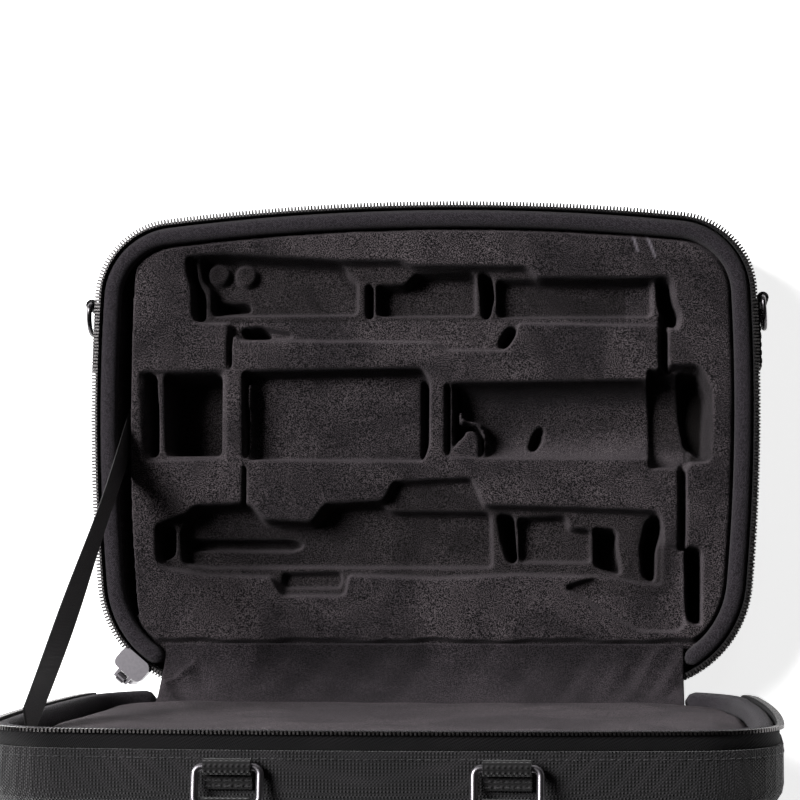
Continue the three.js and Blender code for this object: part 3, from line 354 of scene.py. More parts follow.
def softened_field(values, there, sigma):
    """The field averaged with its neighbours, and nothing from outside the piece."""
    weights = there.astype(float)
    reach = int(math.ceil(2.5 * sigma))
    kernel = np.exp(-0.5 * (np.arange(-reach, reach + 1) / sigma) ** 2)
    values = values * weights
    for axis in (0, 1):
        values = np.apply_along_axis(np.convolve, axis, values, kernel, "same")
        weights = np.apply_along_axis(np.convolve, axis, weights, kernel, "same")
    return np.where(there, values / np.maximum(weights, 1e-9), np.nan)


def closed_body(name, points, faces, material, into=Matrix.Identity(4), run_map=None):
    """A body with what is open closed, its faces turned outwards, and taken to its place."""
    obj = mesh_object(name, points, faces, material, run_map)
    shape = bmesh.new()
    shape.from_mesh(obj.data)
    bmesh.ops.delete(shape, geom=[v for v in shape.verts if not v.link_faces], context="VERTS")
    bmesh.ops.holes_fill(shape, edges=[e for e in shape.edges if len(e.link_faces) == 1], sides=0)
    bmesh.ops.recalc_face_normals(shape, faces=shape.faces)
    for face in shape.faces:
        face.smooth = len(face.verts) <= 4
    shape.transform(into)
    shape.to_mesh(obj.data)
    shape.free()
    return obj


rim_check_step = 0.004
rim_check = along_rim(-math.pi / 2, rim_check_step)
bottom_inset = 0.0067


def relief_piece(name, grid, heights, shoulder, far, into, material):
    """A closed body from the relief down to a shoulder, and from there drawn in to the flat height far."""
    xs, ys, there, _ = grid
    number = np.full(there.shape, -1)
    number[there] = np.arange(there.sum())
    points = [(xs[i], ys[j], heights[j, i]) for j, i in zip(*np.nonzero(there))]
    quads = there[:-1, :-1] & there[1:, :-1] & there[:-1, 1:] & there[1:, 1:]
    faces = [tuple(int(v) for v in (number[j, i], number[j, i + 1], number[j + 1, i + 1], number[j + 1, i]))
             for j, i in zip(*np.nonzero(quads))]
    edges = {edge for face in faces for edge in zip(face, face[1:] + face[:1])}
    edges = sorted(edge for edge in edges if edge[::-1] not in edges)
    levels = {}
    for v in sorted({v for edge in edges for v in edge}):
        x, y, _ = points[v]
        near = rim_check[np.argmin((rim_check[:, 0] - x) ** 2 + (rim_check[:, 1] - y) ** 2)]
        levels[v] = (len(points), len(points) + 1)
        points += [(x, y, shoulder), (x - bottom_inset * near[2], y - bottom_inset * near[3], far)]
    for a, b in edges:
        faces += [(b, a, levels[a][0], levels[b][0]), (levels[b][0], levels[a][0], levels[a][1], levels[b][1])]
    return closed_body(name, points, faces, material, into)


# Short pile: a fine grain of fibre ends, and broad patches where the pile lies one way or the other. Faces that turn
# away from the main light get painted shade, and faces that turn towards it a painted highlight.
away_from_light = (0.6, -0.8, 0)
pile_length = 0.0011
plush, plush_in, plush_out, place = shader_group(
    "short_pile", [("Pile", 2600), ("Brushing", 30)], ["Height", "Grain", "Shade", "PaintedShade", "PaintedHighlight"])
pile = noise_node(plush, plush_in.outputs["Pile"], 3, 0.7)
brushed = noise_node(plush, plush_in.outputs["Brushing"], 6, 0.62, 0.8)
# How far each face turns away from the main light: painted shade one way, painted highlight the other
facing_away = plush.nodes.new("ShaderNodeVectorMath")
facing_away.operation = "DOT_PRODUCT"
facing_away.inputs[1].default_value = away_from_light
plush.links.new(place.outputs["Normal"], facing_away.inputs[0])
facing_light = math_node(plush, "MULTIPLY", facing_away.outputs["Value"], -0.3)
for mask, source, low, high in (("Grain", pile, 0.47, 0.57), ("Shade", brushed, 0.36, 0.64),
                                ("PaintedShade", facing_away.outputs["Value"], 0.12, 0.85), ("PaintedHighlight", facing_light, 0.05, 0.9)):
    plush.links.new(ramp(plush, source, low, high), plush_out.inputs[mask])
plush.links.new(pile, plush_out.inputs["Height"])


def plush_material(name, deep, low, high, sheen):
    """Short pile with dark roots and paler tips, pale where it is ruffled; painted shade in its recesses and on faces
    turned from the main light, and a painted highlight on faces turned towards it.
    """
    m, tree, shader = new_material(name)
    masks = place_group(tree, plush, Pile=1950, Brushing=17)
    colour = mix_colours(tree, masks["Shade"], linear(*low), linear(*high))
    colour = mix_colours(tree, masks["Grain"], linear(*deep), colour)
    # Painted shade on faces turned from the main light, and a painted highlight on faces turned towards it
    colour = mix_colours(tree, masks["PaintedShade"], colour, linear(10, 9, 10))
    colour = mix_colours(tree, masks["PaintedHighlight"], colour, linear(*high))
    # The first attribute paints shade into the recesses, nearly black; the second lightens the ruffled scratches
    for use, shade in (("recess_shade", (10, 8, 7)), ("ruffled", (128, 122, 130))):
        wear_or_shade = tree.nodes.new("ShaderNodeAttribute")
        wear_or_shade.attribute_name = use
        colour = mix_colours(tree, wear_or_shade.outputs["Fac"], colour, linear(*shade))
    tree.links.new(colour, shader.inputs["Base Color"])
    set_inputs(shader, Roughness=0.95, Specular_IOR_Level=0.1, Sheen_Weight=sheen, Sheen_Roughness=0.4,
               Sheen_Tint=linear(190, 180, 188))
    add_bump(tree, shader, masks["Height"], pile_length)
    return m


insert_plush = plush_material("flocked_plush", (7, 6, 7), (60, 55, 58), (93, 86, 89), 0.12)
plush_grid = 0.0009
pile_round = 0.00062
insert_shoulder = -0.040
insert_far = -0.0465


def slow_waves(xs, ys, length, height, seed, waves=14):
    """Slow unevenness of a soft face, the same in every run."""
    chance = np.random.default_rng(seed)
    total = np.zeros((len(ys), len(xs)))
    for _ in range(waves):
        turn, phase = chance.uniform(0, math.tau, 2)
        reach = length * chance.uniform(0.6, 1.8)
        total += np.sin(math.tau / reach * (np.cos(turn) * xs[None, :] + np.sin(turn) * ys[:, None]) + phase)
    return total * height / math.sqrt(waves)


grid = relief("base_insert", -1, plush_grid, pile_round, UPRIGHT)
heights = grid[3] + slow_waves(grid[0], grid[1], length=0.03, height=0.00022, seed=7)
insert = relief_piece("plush_insert", grid, heights, insert_shoulder, insert_far, UPRIGHT, insert_plush)

# Painted shade darkens it where the instrument's joints lie, in the bell's well, and everywhere deep down. Two
# short scratches near the front right corner have ruffled it. Its rear edge wavers where the hinge's lining starts.
# Each box of painted shade has its corners, the depth at which it starts, how far it fades in, and how dark it is.
shade_boxes = (((-0.120, 0.100, 0.062, 0.100), 0.007, 0.006, 0.46),
                  ((-0.140, 0.122, -0.075, -0.020), 0.007, 0.006, 0.46),
                  ((0.1278, 0.1480, -0.0090, 0.0440), 0.0064, 0.0014, 0.97))
scratches = (((0.1028, 0.1068), (0.1065, 0.0950)), ((0.1091, 0.1075), (0.1150, 0.0920)))
scratch_width = 0.0009
deep_shade_from, deep_shade_reach, deep_shade_share = 0.0275, 0.004, 0.6
wavy_from, wavy_reach = -0.0925, 0.004
wavy_steps = ((0.0006, 103, 1), (0.0003, 271, 0))
spots = np.array([v.co for v in insert.data.vertices])
down = closing_plane - spots[:, 2]
# Painted shade: darker the deeper the pile lies, and darker still inside each box
recess_shade = deep_shade_share * np.clip((down - deep_shade_from) / deep_shade_reach, 0, 1)
for (x0, x1, y0, y1), start, reach, strength in shade_boxes:
    inside = (spots[:, 0] > x0) & (spots[:, 0] < x1) & (spots[:, 1] > y0) & (spots[:, 1] < y1)
    recess_shade = np.maximum(recess_shade, strength * inside * np.clip((down - start) / reach, 0, 1))
ruffled = np.zeros(len(spots))
for start, stop in np.array(scratches):
    share = np.clip((spots[:, :2] - start) @ (stop - start) / ((stop - start) @ (stop - start)), 0, 1)
    apart = np.linalg.norm(spots[:, :2] - start - share[:, None] * (stop - start), axis=1)
    ruffled = np.maximum(ruffled, np.clip(1 - apart / scratch_width, 0, 1) * (1 - 0.3 * share))
for name, values in (("recess_shade", recess_shade), ("ruffled", ruffled)):
    insert.data.attributes.new(name, "FLOAT", "POINT").data.foreach_set("value", values.astype(np.float32))
wavy = sum(height * (1 + np.sin(turns * spots[:, 0] + phase)) for height, turns, phase in wavy_steps)
spots[:, 1] += wavy * np.clip((wavy_from - spots[:, 1]) / wavy_reach, 0, 1)
insert.data.vertices.foreach_set("co", spots.ravel())
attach(insert, "base")
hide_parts("base_insert")

# The lid's pad: a sheet of soft foam under the same plush, glued to a card edge, with the ribbon's upper slot in it.
# Its face is a little uneven.
pad_grid = 0.0016
pad_round = 0.0018
pad_shoulder = 0.0220
pad_far = 0.0287
grid = relief("lid_pad", 1, pad_grid, pad_round, LID)
heights = grid[3] + slow_waves(grid[0], grid[1], length=0.05, height=0.00045, seed=11)
pad = relief_piece("plush_pad", grid, heights, pad_shoulder, pad_far, LID, insert_plush)
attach(pad, "lid")
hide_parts("lid_pad")

# The padded rolls inside the zip: a tube of dark knit over foam, glued to the ledge all round. Each end is pinched
# shut and tucked behind the lining of the hinge.
roll_inset = 0.0033
roll_width = 0.0087
roll_height = 0.010
roll_clearance = 0.0003
roll_first_turn = math.radians(-90 + 28.14)
roll_pinch = 0.007
roll_sides = 28
roll_fullness = 0.86
rim_step = 0.003


def distances(path):
    """How far along a path each of its points lies."""
    return np.concatenate([[0], np.cumsum(np.hypot(*np.diff(path, axis=0).T))])


def tube_faces(rings, sides, looped=False):
    """Faces round a tube whose points come ring by ring, with both ends closed unless it is looped."""
    faces = [(r * sides + i, r * sides + (i + 1) % sides, (r + 1) % rings * sides + (i + 1) % sides,
              (r + 1) % rings * sides + i) for r in range(rings if looped else rings - 1) for i in range(sides)]
    return faces if looped else faces + [tuple(range(r * sides, (r + 1) * sides)) for r in (0, rings - 1)]


least_fullness = 0.06


def swept(name, section, rows, into, material, pinch=0.0):
    """A closed body: a section of inset and height pairs carried along the rim, pinched in at its ends."""
    section = np.array(section)
    middle = section.mean(axis=0)
    run = distances(rows[:, :2])
    girth = distances(np.vstack([section, section[:1]]))
    count = len(section)
    points = []
    for row, at in zip(rows, run):
        from_end = min(at, run[-1] - at)
        fullness = 1.0
        if from_end < pinch:
            fullness = math.sqrt(max(least_fullness, 1 - (1 - from_end / pinch) ** 2))
        for inset, z in middle + (section - middle) * fullness:
            points.append((row[0] - row[2] * inset, row[1] - row[3] * inset, z))
    corners = [(run[band + b], girth[i + g]) for band in range(len(rows) - 1) for i in range(count)
               for b, g in ((0, 0), (0, 1), (1, 1), (1, 0))]
    corners += [(end, girth[i]) for end in (run[0], run[-1]) for i in range(count)]
    return closed_body(name, points, tube_faces(len(rows), count), material, into, corners)


# Cloth that follows a strip: threads along and across its run, read from the piece's own map
strip_weave, strip_in, strip_out, place = shader_group(
    "strip_threads", [("Along", 1200), ("Across", 1200), ("Slant", 0)], ["Height"])
split = strip_weave.nodes.new("ShaderNodeSeparateXYZ")
strip_weave.links.new(place.outputs["UV"], split.inputs[0])
slanted = math_node(strip_weave, "MULTIPLY_ADD", split.outputs[0], strip_in.outputs["Slant"], split.outputs[1])
lengthways = threads_wave(strip_weave, split.outputs[0], strip_in.outputs["Along"])
crossways = threads_wave(strip_weave, slanted, strip_in.outputs["Across"])
strip_weave.links.new(math_node(strip_weave, "MULTIPLY", lengthways, crossways), strip_out.inputs["Height"])


def strip_material(name, dark, light, along, across, slant, bump, sheen, roughness, shine=0.15, mottle_scale=60):
    return cloth_material(name, dark, light, {"Along": along, "Across": across, "Slant": slant}, bump, sheen,
                          roughness, (mottle_scale, 0.35, 0.65), -0.8, shine, 0.45, strip_weave)


def squared(value, power):
    """A sine or cosine pushed outwards, which turns an ellipse towards a rectangle with round corners."""
    return math.copysign(abs(value) ** power, value)


knit = strip_material("foam_knit", (24, 20, 25), (64, 59, 65), 2300, 2300, 0.35, 0.00016, 0.06, 0.85,
                      mottle_scale=1500)
for body, side, into in BOTH_HALVES:
    turns = np.arange(roll_sides) / roll_sides * math.tau
    section = [(roll_inset + roll_width / 2 * (1 + squared(math.cos(t), roll_fullness)),
                side * (roll_clearance + roll_height / 2 * (1 + squared(math.sin(t), roll_fullness)))) for t in turns]
    roll = swept(body + "_knit_roll", section, along_rim(roll_first_turn, rim_step), into, knit, roll_pinch)
    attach(roll, body)
    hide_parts(body + "_rim_roll")

# The zip's tapes: woven strips that stand on the shells' edges. Their free edge is a thin cord, on which the teeth
# are clamped.
zip_first_turn = {"base": math.radians(-90 + 18.76), "lid": math.radians(-90 + 65.65)}
tape_inset = 0.0015
tape_thickness = 0.0012
tape_foot = 0.0077
tape_neck = 0.00195
tape_cord = 0.0007
cord_top = 0.0004
cord_side = 0.0008
cord_round = 0.0003
zip_tape = strip_material("zip_tape", (14, 13, 15), (21, 19, 21), 1500, 1500, 0.5, 0.00012, 0.05, 0.85)
for body, side, into in BOTH_HALVES:
    inner = tape_inset + tape_thickness
    centre = tape_inset + tape_thickness / 2
    section = [(inset, side * z) for inset, z in (
        (tape_inset, tape_foot), (inner, tape_foot), (inner, tape_neck), (centre + tape_cord, tape_neck - cord_round),
        (centre + tape_cord, cord_side), (centre + cord_round, cord_top), (centre - cord_round, cord_top),
        (centre - tape_cord, cord_side), (centre - tape_cord, tape_neck - cord_round), (tape_inset, tape_neck))]
    tape = swept(body + "_woven_tape", section, along_rim(zip_first_turn[body], rim_step), into, zip_tape)
    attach(tape, body)
    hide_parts(body + "_zip_tape")

# The zip's teeth: small pressed nickel jaws clamped over the tape's cord at an even pitch. The lid's row is half a
# pitch out of step, so that the two rows mesh.
tooth_pitch = 0.00165
tooth_length = 0.00082
tooth_width = 0.0029
tooth_height = 0.0015
tooth_overhang = 0.0004
tooth_inset = tooth_width / 2 - tooth_overhang
tooth_clearance = 0.00015
tooth_step = 0.002
jaw_head_shares = (1.25, 0.42, 0.62)

nickel_worn, worn_in, worn_out, place = shader_group("worn_metal", [("Scuffs", 700)], ["Rough", "Height", "Dull"])
scuffs = noise_node(nickel_worn, worn_in.outputs["Scuffs"], 6, 0.7)
scuffed = ramp(nickel_worn, scuffs, 0.35, 0.75)
matt = math_node(nickel_worn, "MULTIPLY_ADD", scuffed, 0.25, 0.2)
for mask, source in (("Rough", matt), ("Height", scuffs), ("Dull", scuffed)):
    nickel_worn.links.new(source, worn_out.inputs[mask])


def nickel_material(name, bright, dull, scuffs, bump, roughness=None):
    """Nickel plating, scuffed dull in places; its gloss follows the scuffs unless it is given."""
    m, tree, shader = new_material(name)
    wear_or_shade = place_group(tree, nickel_worn, Scuffs=scuffs)
    tree.links.new(mix_colours(tree, wear_or_shade["Dull"], linear(*bright), linear(*dull)), shader.inputs["Base Color"])
    join(tree, wear_or_shade["Rough"] if roughness is None else roughness, shader.inputs["Roughness"])
    set_inputs(shader, Metallic=1)
    add_bump(tree, shader, wear_or_shade["Height"], bump)
    return m


tooth_nickel = nickel_material("tooth_nickel", (116, 113, 113), (62, 60, 60), 900, 0.00004)


def row_tree(name, shape_nodes):
    """Copies of one small shape at an even pitch along a path, each turned along the path and kept upright; gives
    the tree and the identifiers of its sizes."""
    tree = bpy.data.node_groups.new(name, "GeometryNodeTree")
    tree.interface.new_socket("Path", in_out="INPUT", socket_type="NodeSocketGeometry")
    tree.interface.new_socket("Geometry", in_out="OUTPUT", socket_type="NodeSocketGeometry")
    kinds = {"Pitch": "Float", "Length": "Float", "Width": "Float", "Height": "Float", "Material": "Material"}
    named = {label: tree.interface.new_socket(label, in_out="INPUT", socket_type="NodeSocket" + kind).identifier
             for label, kind in kinds.items()}
    start, end, to_curve, resample, tangent, turn, place, real, coat = (tree.nodes.new(kind) for kind in (
        "NodeGroupInput", "NodeGroupOutput", "GeometryNodeMeshToCurve", "GeometryNodeResampleCurve",
        "GeometryNodeInputTangent", "FunctionNodeAlignRotationToVector", "GeometryNodeInstanceOnPoints",
        "GeometryNodeRealizeInstances", "GeometryNodeSetMaterial"))
    resample.mode = "LENGTH"
    turn.axis = "X"
    turn.pivot_axis = "AUTO"
    for source, output, target, socket in (
            (start, "Path", to_curve, "Mesh"), (to_curve, "Curve", resample, "Curve"),
            (start, "Pitch", resample, "Length"), (resample, "Curve", place, "Points"),
            (tangent, "Tangent", turn, "Vector"), (turn, "Rotation", place, "Rotation"),
            (place, "Instances", real, "Geometry"), (real, "Geometry", coat, "Geometry"),
            (start, "Material", coat, "Material"), (coat, "Geometry", end, "Geometry")):
        tree.links.new(source.outputs[output], target.inputs[socket])
    tree.links.new(shape_nodes(tree, start), place.inputs["Instance"])
    return tree, named


def sized(tree, start):
    size = tree.nodes.new("ShaderNodeCombineXYZ")
    for axis, label in zip("XYZ", ("Length", "Width", "Height")):
        tree.links.new(start.outputs[label], size.inputs[axis])
    return size.outputs["Vector"]


def tooth_shape(tree, start):
    """A jaw: a block with a raised, narrower head at its middle."""
    size = sized(tree, start)
    scaled = tree.nodes.new("ShaderNodeVectorMath")
    scaled.operation = "MULTIPLY"
    scaled.inputs[1].default_value = jaw_head_shares
    tree.links.new(size, scaled.inputs[0])
    both = tree.nodes.new("GeometryNodeJoinGeometry")
    for block_size in (size, scaled.outputs["Vector"]):
        block = tree.nodes.new("GeometryNodeMeshCube")
        tree.links.new(block_size, block.inputs["Size"])
        tree.links.new(block.outputs["Mesh"], both.inputs[0])
    return both.outputs[0]


def row_piece(name, row, paths, material, pitch, size, into):
    """Runs a row's tree on the given paths of points and keeps its result as a plain mesh."""
    tree, named = row
    points = []
    edges = []
    for path in paths:
        edges += [(len(points) + i, len(points) + i + 1) for i in range(len(path) - 1)]
        points += [tuple(p) for p in path]
    mesh = bpy.data.meshes.new(name + "_path")
    mesh.from_pydata(points, edges, [])
    carrier = place_object(name + "_path", mesh)
    modifier = carrier.modifiers.new("row", "NODES")
    modifier.node_group = tree
    modifier[named["Pitch"]] = pitch
    for label, value in zip(("Length", "Width", "Height"), size):
        modifier[named[label]] = value
    modifier[named["Material"]] = material
    graph = bpy.context.evaluated_depsgraph_get()
    graph.update()
    result = bpy.data.meshes.new_from_object(carrier.evaluated_get(graph))
    carrier.modifiers.clear()
    bpy.data.objects.remove(carrier)
    result.name = name
    result.transform(into)
    return place_object(name, result)


teeth_row = row_tree("zip_teeth_row", tooth_shape)
for body, side, into in BOTH_HALVES:
    rows = along_rim(zip_first_turn[body], tooth_step)
    if body == "lid":
        rows = rows[1:]
    z = side * (tooth_clearance + tooth_height / 2)
    path = [(x - nx * tooth_inset, y - ny * tooth_inset, z) for x, y, nx, ny in rows]
    teeth = row_piece(body + "_zip_teeth", teeth_row, [path], tooth_nickel, tooth_pitch,
                      (tooth_length, tooth_width, tooth_height), into)
    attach(teeth, body)
    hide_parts(body + "_zip_chain")

# The slider, its pull and the two stops at the ends of the teeth: cast nickel with worn, rounded edges.
hardware_nickel = nickel_material("cast_nickel", (112, 109, 113), (102, 99, 103), 700, 0.000003, 0.36)


def rounded_copy(node, radius, body, material, segments=3, steep=35):
    """A node's own shape with its edges rounded off, in place of the node."""
    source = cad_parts[node]
    mesh = source.data.copy()
    mesh.name = node + "_rounded"
    mesh.transform(source.matrix_world)
    shape = bmesh.new()
    shape.from_mesh(mesh)
    bmesh.ops.remove_doubles(shape, verts=shape.verts, dist=1e-6)
    bmesh.ops.dissolve_limit(shape, angle_limit=math.radians(1), verts=shape.verts, edges=shape.edges)
    sharp = [e for e in shape.edges if len(e.link_faces) == 2 and e.calc_face_angle(0) > math.radians(steep)]
    bmesh.ops.bevel(shape, geom=sharp, offset=radius, segments=segments, profile=0.5, affect="EDGES",
                    clamp_overlap=True)
    for face in shape.faces:
        face.smooth = True
    shape.to_mesh(mesh)
    shape.free()
    mesh.materials.clear()
    mesh.materials.append(material)
    obj = place_object(node + "_rounded", mesh)
    sharpen = obj.modifiers.new("normals", "WEIGHTED_NORMAL")
    sharpen.keep_sharp = True
    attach(obj, body)
    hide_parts(node)


rounded_copy("zip_slider", 0.0005, "slider", hardware_nickel)
rounded_copy("zip_pull", 0.0004, "pull", hardware_nickel)
for name in ("zip_stop_left", "zip_stop_right"):
    rounded_copy(name, 0.0003, "base", hardware_nickel, 2)

# The spine: a strip of the shells' own cloth, doubled over and sewn to the inside of both shells' rear walls. It is
# shaped as an arc round the hinge, at the lid's open angle.
spine_past_corner = 0.0135
spine_half = rear_corner[0] + spine_past_corner
spine_thickness = 0.0014
spine_inset = 0.0011
spine_foot = 0.0077
spine_radius = spine_foot / math.tan(open_angle / 2) + spine_inset
spine_y = spine_inset - case_half_depth - spine_radius


def cloth_strip(name, path, thickness, half, across, material, lift=lambda across, run: 0):
    """A closed thin sheet along +X over a path in the YZ plane, lifted by lift, with its width and run as UV."""
    path = np.array(path)
    forward = np.gradient(path, axis=0)
    forward /= np.linalg.norm(forward, axis=1)[:, None]
    normal = np.stack([-forward[:, 1], forward[:, 0]], axis=1)
    run = distances(path)
    xs = np.linspace(-half, half, across + 1)
    count = len(path)
    points = []
    for face_side in (1, -1):
        for x in xs:
            for k in range(count):
                rise = face_side * thickness / 2 + lift(x / half, run[k] / run[-1])
                points.append((x, *(path[k] + normal[k] * rise)))
    back_face = len(points) // 2
    faces = []
    corners = []
    for i in range(across):
        for k in range(count - 1):
            a, b, c, d = i * count + k, (i + 1) * count + k, (i + 1) * count + k + 1, i * count + k + 1
            uv = [(xs[i], run[k]), (xs[i + 1], run[k]), (xs[i + 1], run[k + 1]), (xs[i], run[k + 1])]
            faces += [(a, b, c, d), tuple(back_face + v for v in (d, c, b, a))]
            corners += uv + uv[::-1]
    ends = [(i * count, (i + 1) * count) for i in range(across)]
    ends += [((i + 1) * count + count - 1, i * count + count - 1) for i in range(across)]
    ends += [(across * count + k, across * count + k + 1) for k in range(count - 1)]
    ends += [(k + 1, k) for k in range(count - 1)]
    faces += [(b, a, back_face + a, back_face + b) for a, b in ends]
    corners += [(0, 0), (0, 0), (0, 0.001), (0, 0.001)] * len(ends)
    return closed_body(name, points, faces, material, run_map=corners), run[-1]


turns = np.linspace(0, open_angle, 21)
path = [(spine_y + spine_radius * math.cos(t), closing_plane - spine_foot + spine_radius * math.sin(t))
        for t in turns]
spine, spine_run = cloth_strip("spine_cloth", path, spine_thickness, spine_half, 60, shell_cloth)
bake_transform(spine)
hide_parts("spine_panel")

# The lining over the hinge: a flap of the insert's plush on thin backing, glued under the edges of the insert and of
# the lid's pad. Shutting the lid has left it wavy, most of all near its ends.
lining_past_corner = 0.0215
lining_half = rear_corner[0] + lining_past_corner
lining_thickness = 0.0012
lining_drop = 0.007
lining_gap = 0.0003
lining_sag_y = 0.116
lining_sag_drop = 0.002
insert_rear_y = -0.0975
lining_start = insert_rear_y + case_half_depth - lining_gap - lining_thickness / 2
lining_sag = np.array((case_half_depth - lining_sag_y, -lining_sag_drop))
lining_from = np.array((lining_start, -lining_drop))
cos_open, sin_open = math.cos(open_angle), math.sin(open_angle)
lining_to = np.array((lining_start * cos_open - lining_drop * sin_open,
                      lining_start * sin_open + lining_drop * cos_open))


soft_folds = ((0.00035, 31, 5, 0), (0.0003, 17, -4, 1))


def lining_waves(across, run):
    """Folds that run from the base to the lid: soft in the middle, sharper towards the ends."""
    held = math.sin(math.pi * min(max(run, 0), 1)) ** 0.7
    near_end = abs(across) ** 3
    soft = sum(height * math.sin(a * across + b * run + phase) for height, a, b, phase in soft_folds)
    sharp = 0.0009 * near_end * math.sin(60 * across + 9 * run * math.copysign(1, across))
    crease = -0.0012 * math.exp(-((abs(across) - 0.93 + 0.05 * math.sin(7 * run)) / 0.018) ** 2)
    return held * (soft + sharp + crease)


lining_path = []
for t in np.linspace(0, 1, 29):
    y, z = (1 - t) ** 2 * lining_from + 2 * t * (1 - t) * lining_sag + t ** 2 * lining_to
    lining_path.append((y - case_half_depth, z + closing_plane))
lining_plush = plush_material("lining_plush", (9, 8, 9), (38, 34, 37), (66, 60, 64), 0.1)
lining, lining_run = cloth_strip("hinge_flap", lining_path, lining_thickness, lining_half, 260, lining_plush,
                                 lining_waves)
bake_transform(lining)
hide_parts("hinge_lining")

# The stay ribbon: woven satin with a firm edge, sewn down inside the slots of both halves. It holds the lid upright.
ribbon_width = 0.020
ribbon_thickness = 0.0007
ribbon_x = -0.1492
ribbon_up_lid = 0.181
ribbon_foot = np.array((-0.005, 0))
ribbon_head = np.array((-case_half_depth + ribbon_up_lid * cos_open, ribbon_up_lid * sin_open))
ribbon_along = (ribbon_head - ribbon_foot) / np.linalg.norm(ribbon_head - ribbon_foot)
ribbon_roots = (0.0291, 0.0078)
ribbon_bow = 0.0012
ribbon_twist = math.radians(5)
ribbon_edge = 0.0012
ribbon_across = np.array((ribbon_along[1], -ribbon_along[0]))
ribbon_start = ribbon_foot - ribbon_along * ribbon_roots[0]
ribbon_stop = ribbon_head + ribbon_along * ribbon_roots[1]
ribbon_length = np.linalg.norm(ribbon_stop - ribbon_start)

ribbon_satin = strip_material("ribbon_satin", (14, 11, 12), (20, 16, 18), 1700, 2600, 0.0, 0.00008, 0.08, 0.45,
                              0.4)
selvedge_from = 0.5 - ribbon_edge / ribbon_width
columns = (-0.5, -selvedge_from, *np.linspace(-0.4, 0.4, 7), selvedge_from, 0.5)
lengths = 90
points = []
run_map = []
for face_side in (1, -1):
    for k in range(lengths + 1):
        share = k / lengths
        lean = ribbon_twist * math.sin(math.pi * share) * math.sin(math.tau * share)
        bow = ribbon_bow * math.sin(math.pi * share)
        for c in columns:
            selvedge = 0.55 if abs(c) < 0.47 else 1.0 if abs(c) < 0.499 else 0.5
            thick = face_side * ribbon_thickness / 2 * selvedge
            wide = c * ribbon_width
            middle = ribbon_start + ribbon_along * ribbon_length * share + ribbon_across * wide * math.cos(lean)
            points.append((ribbon_x + thick + bow + wide * math.sin(lean), middle[0],
                           middle[1] + closing_plane))
            run_map.append((share * ribbon_length, wide))
wide_count = len(columns)
back_face = len(points) // 2
faces = []
for k in range(lengths):
    for a in range(k * wide_count, (k + 1) * wide_count - 1):
        quad = (a, a + 1, a + 1 + wide_count, a + wide_count)
        faces += [quad, tuple(back_face + v for v in reversed(quad))]
for step, starts in ((wide_count, [k * wide_count + i for k in range(lengths) for i in (0, wide_count - 1)]),
                     (1, [lengths * end * wide_count + i for i in range(wide_count - 1) for end in (0, 1)])):
    faces += [(a, a + step, back_face + a + step, back_face + a) for a in starts]
ribbon = closed_body("ribbon", points, faces, ribbon_satin, run_map=[run_map[v] for face in faces for v in face])
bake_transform(ribbon)
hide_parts("stay_ribbon")

# The strap tabs on both ends: a loop of ribbed webbing, sewn to the shell with a stitched box, that holds a D ring.
webbing = cloth_material("ribbed_webbing", (21, 20, 21), (31, 29, 31), {"Threads": 900}, 0.0002, 0.15)
HANDS = (("left", -1), ("right", 1))
for hand, _ in HANDS:
    rounded_copy("tab_" + hand, 0.0003, "base", webbing, 2, 50)

# The D rings: nickelled round wire, bent to a D and welded in the middle of the bar.
ring_y = 0.071
ring_z = closing_plane - 0.015
ring_wire = 0.00125
ring_half_height = 0.0125
ring_depth = 0.014
ring_bend = 0.003
ring_rest = math.radians(4)
loop_gap = 0.00035
webbing_thickness = 0.0013
wall_gap = 0.0003


def beside_end(y, out):
    """The point that far out from the case's right end wall, at the given y."""
    turn = math.asin((y - end_widest_y) / end_bow_radius)
    return (end_centre[0] + (end_bow_radius + out) * math.cos(turn),
            end_centre[1] + (end_bow_radius + out) * math.sin(turn))


knob = beside_end(ring_y, wall_gap + ring_wire + loop_gap + webbing_thickness)


def bent_wire(name, path, radius, sides, place, mirror, material):
    """Round wire along a closed path in the XZ plane."""
    path = [Vector(p) for p in path]
    flat = Vector((0, 1, 0))
    points = []
    for i, point in enumerate(path):
        along = (path[(i + 1) % len(path)] - path[i - 1]).normalized()
        across = along.cross(flat)
        for k in range(sides):
            turn = math.tau * k / sides
            p = place @ (point + radius * (across * math.cos(turn) + flat * math.sin(turn)))
            points.append((mirror * p.x, p.y, p.z))
    return closed_body(name, points, tube_faces(len(path), sides, True), material)


def d_path(half_height, depth, bend):
    """A D ring's middle line in the XZ plane: a corner, the bow, the other corner and the straight bar."""
    corner = [(bend * (1 - math.cos(t)), 0, half_height - bend + bend * math.sin(t))
              for t in np.linspace(0, math.pi / 2, 7)[:-1]]
    bow = [(bend + (depth - bend) * math.sin(t), 0, half_height * math.cos(t)) for t in np.linspace(0, math.pi, 41)]
    bar = [(0, 0, z) for z in np.linspace(bend - half_height, half_height - bend, 12)[1:-1]]
    return corner + bow + [(x, y, -z) for x, y, z in reversed(corner)] + bar


ring_nickel = nickel_material("ring_nickel", (88, 86, 88), (54, 52, 54), 900, 0.00003)
ring_place = Matrix.Translation((*knob, ring_z)) @ Matrix.Rotation(ring_rest - math.pi / 2, 4, "Z")
for hand, way in HANDS:
    ring = bent_wire("ring_" + hand, d_path(ring_half_height, ring_depth, ring_bend), ring_wire, 14, ring_place, way,
                     ring_nickel)
    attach(ring, hand + "_ring")
    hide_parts("d_ring_" + hand)

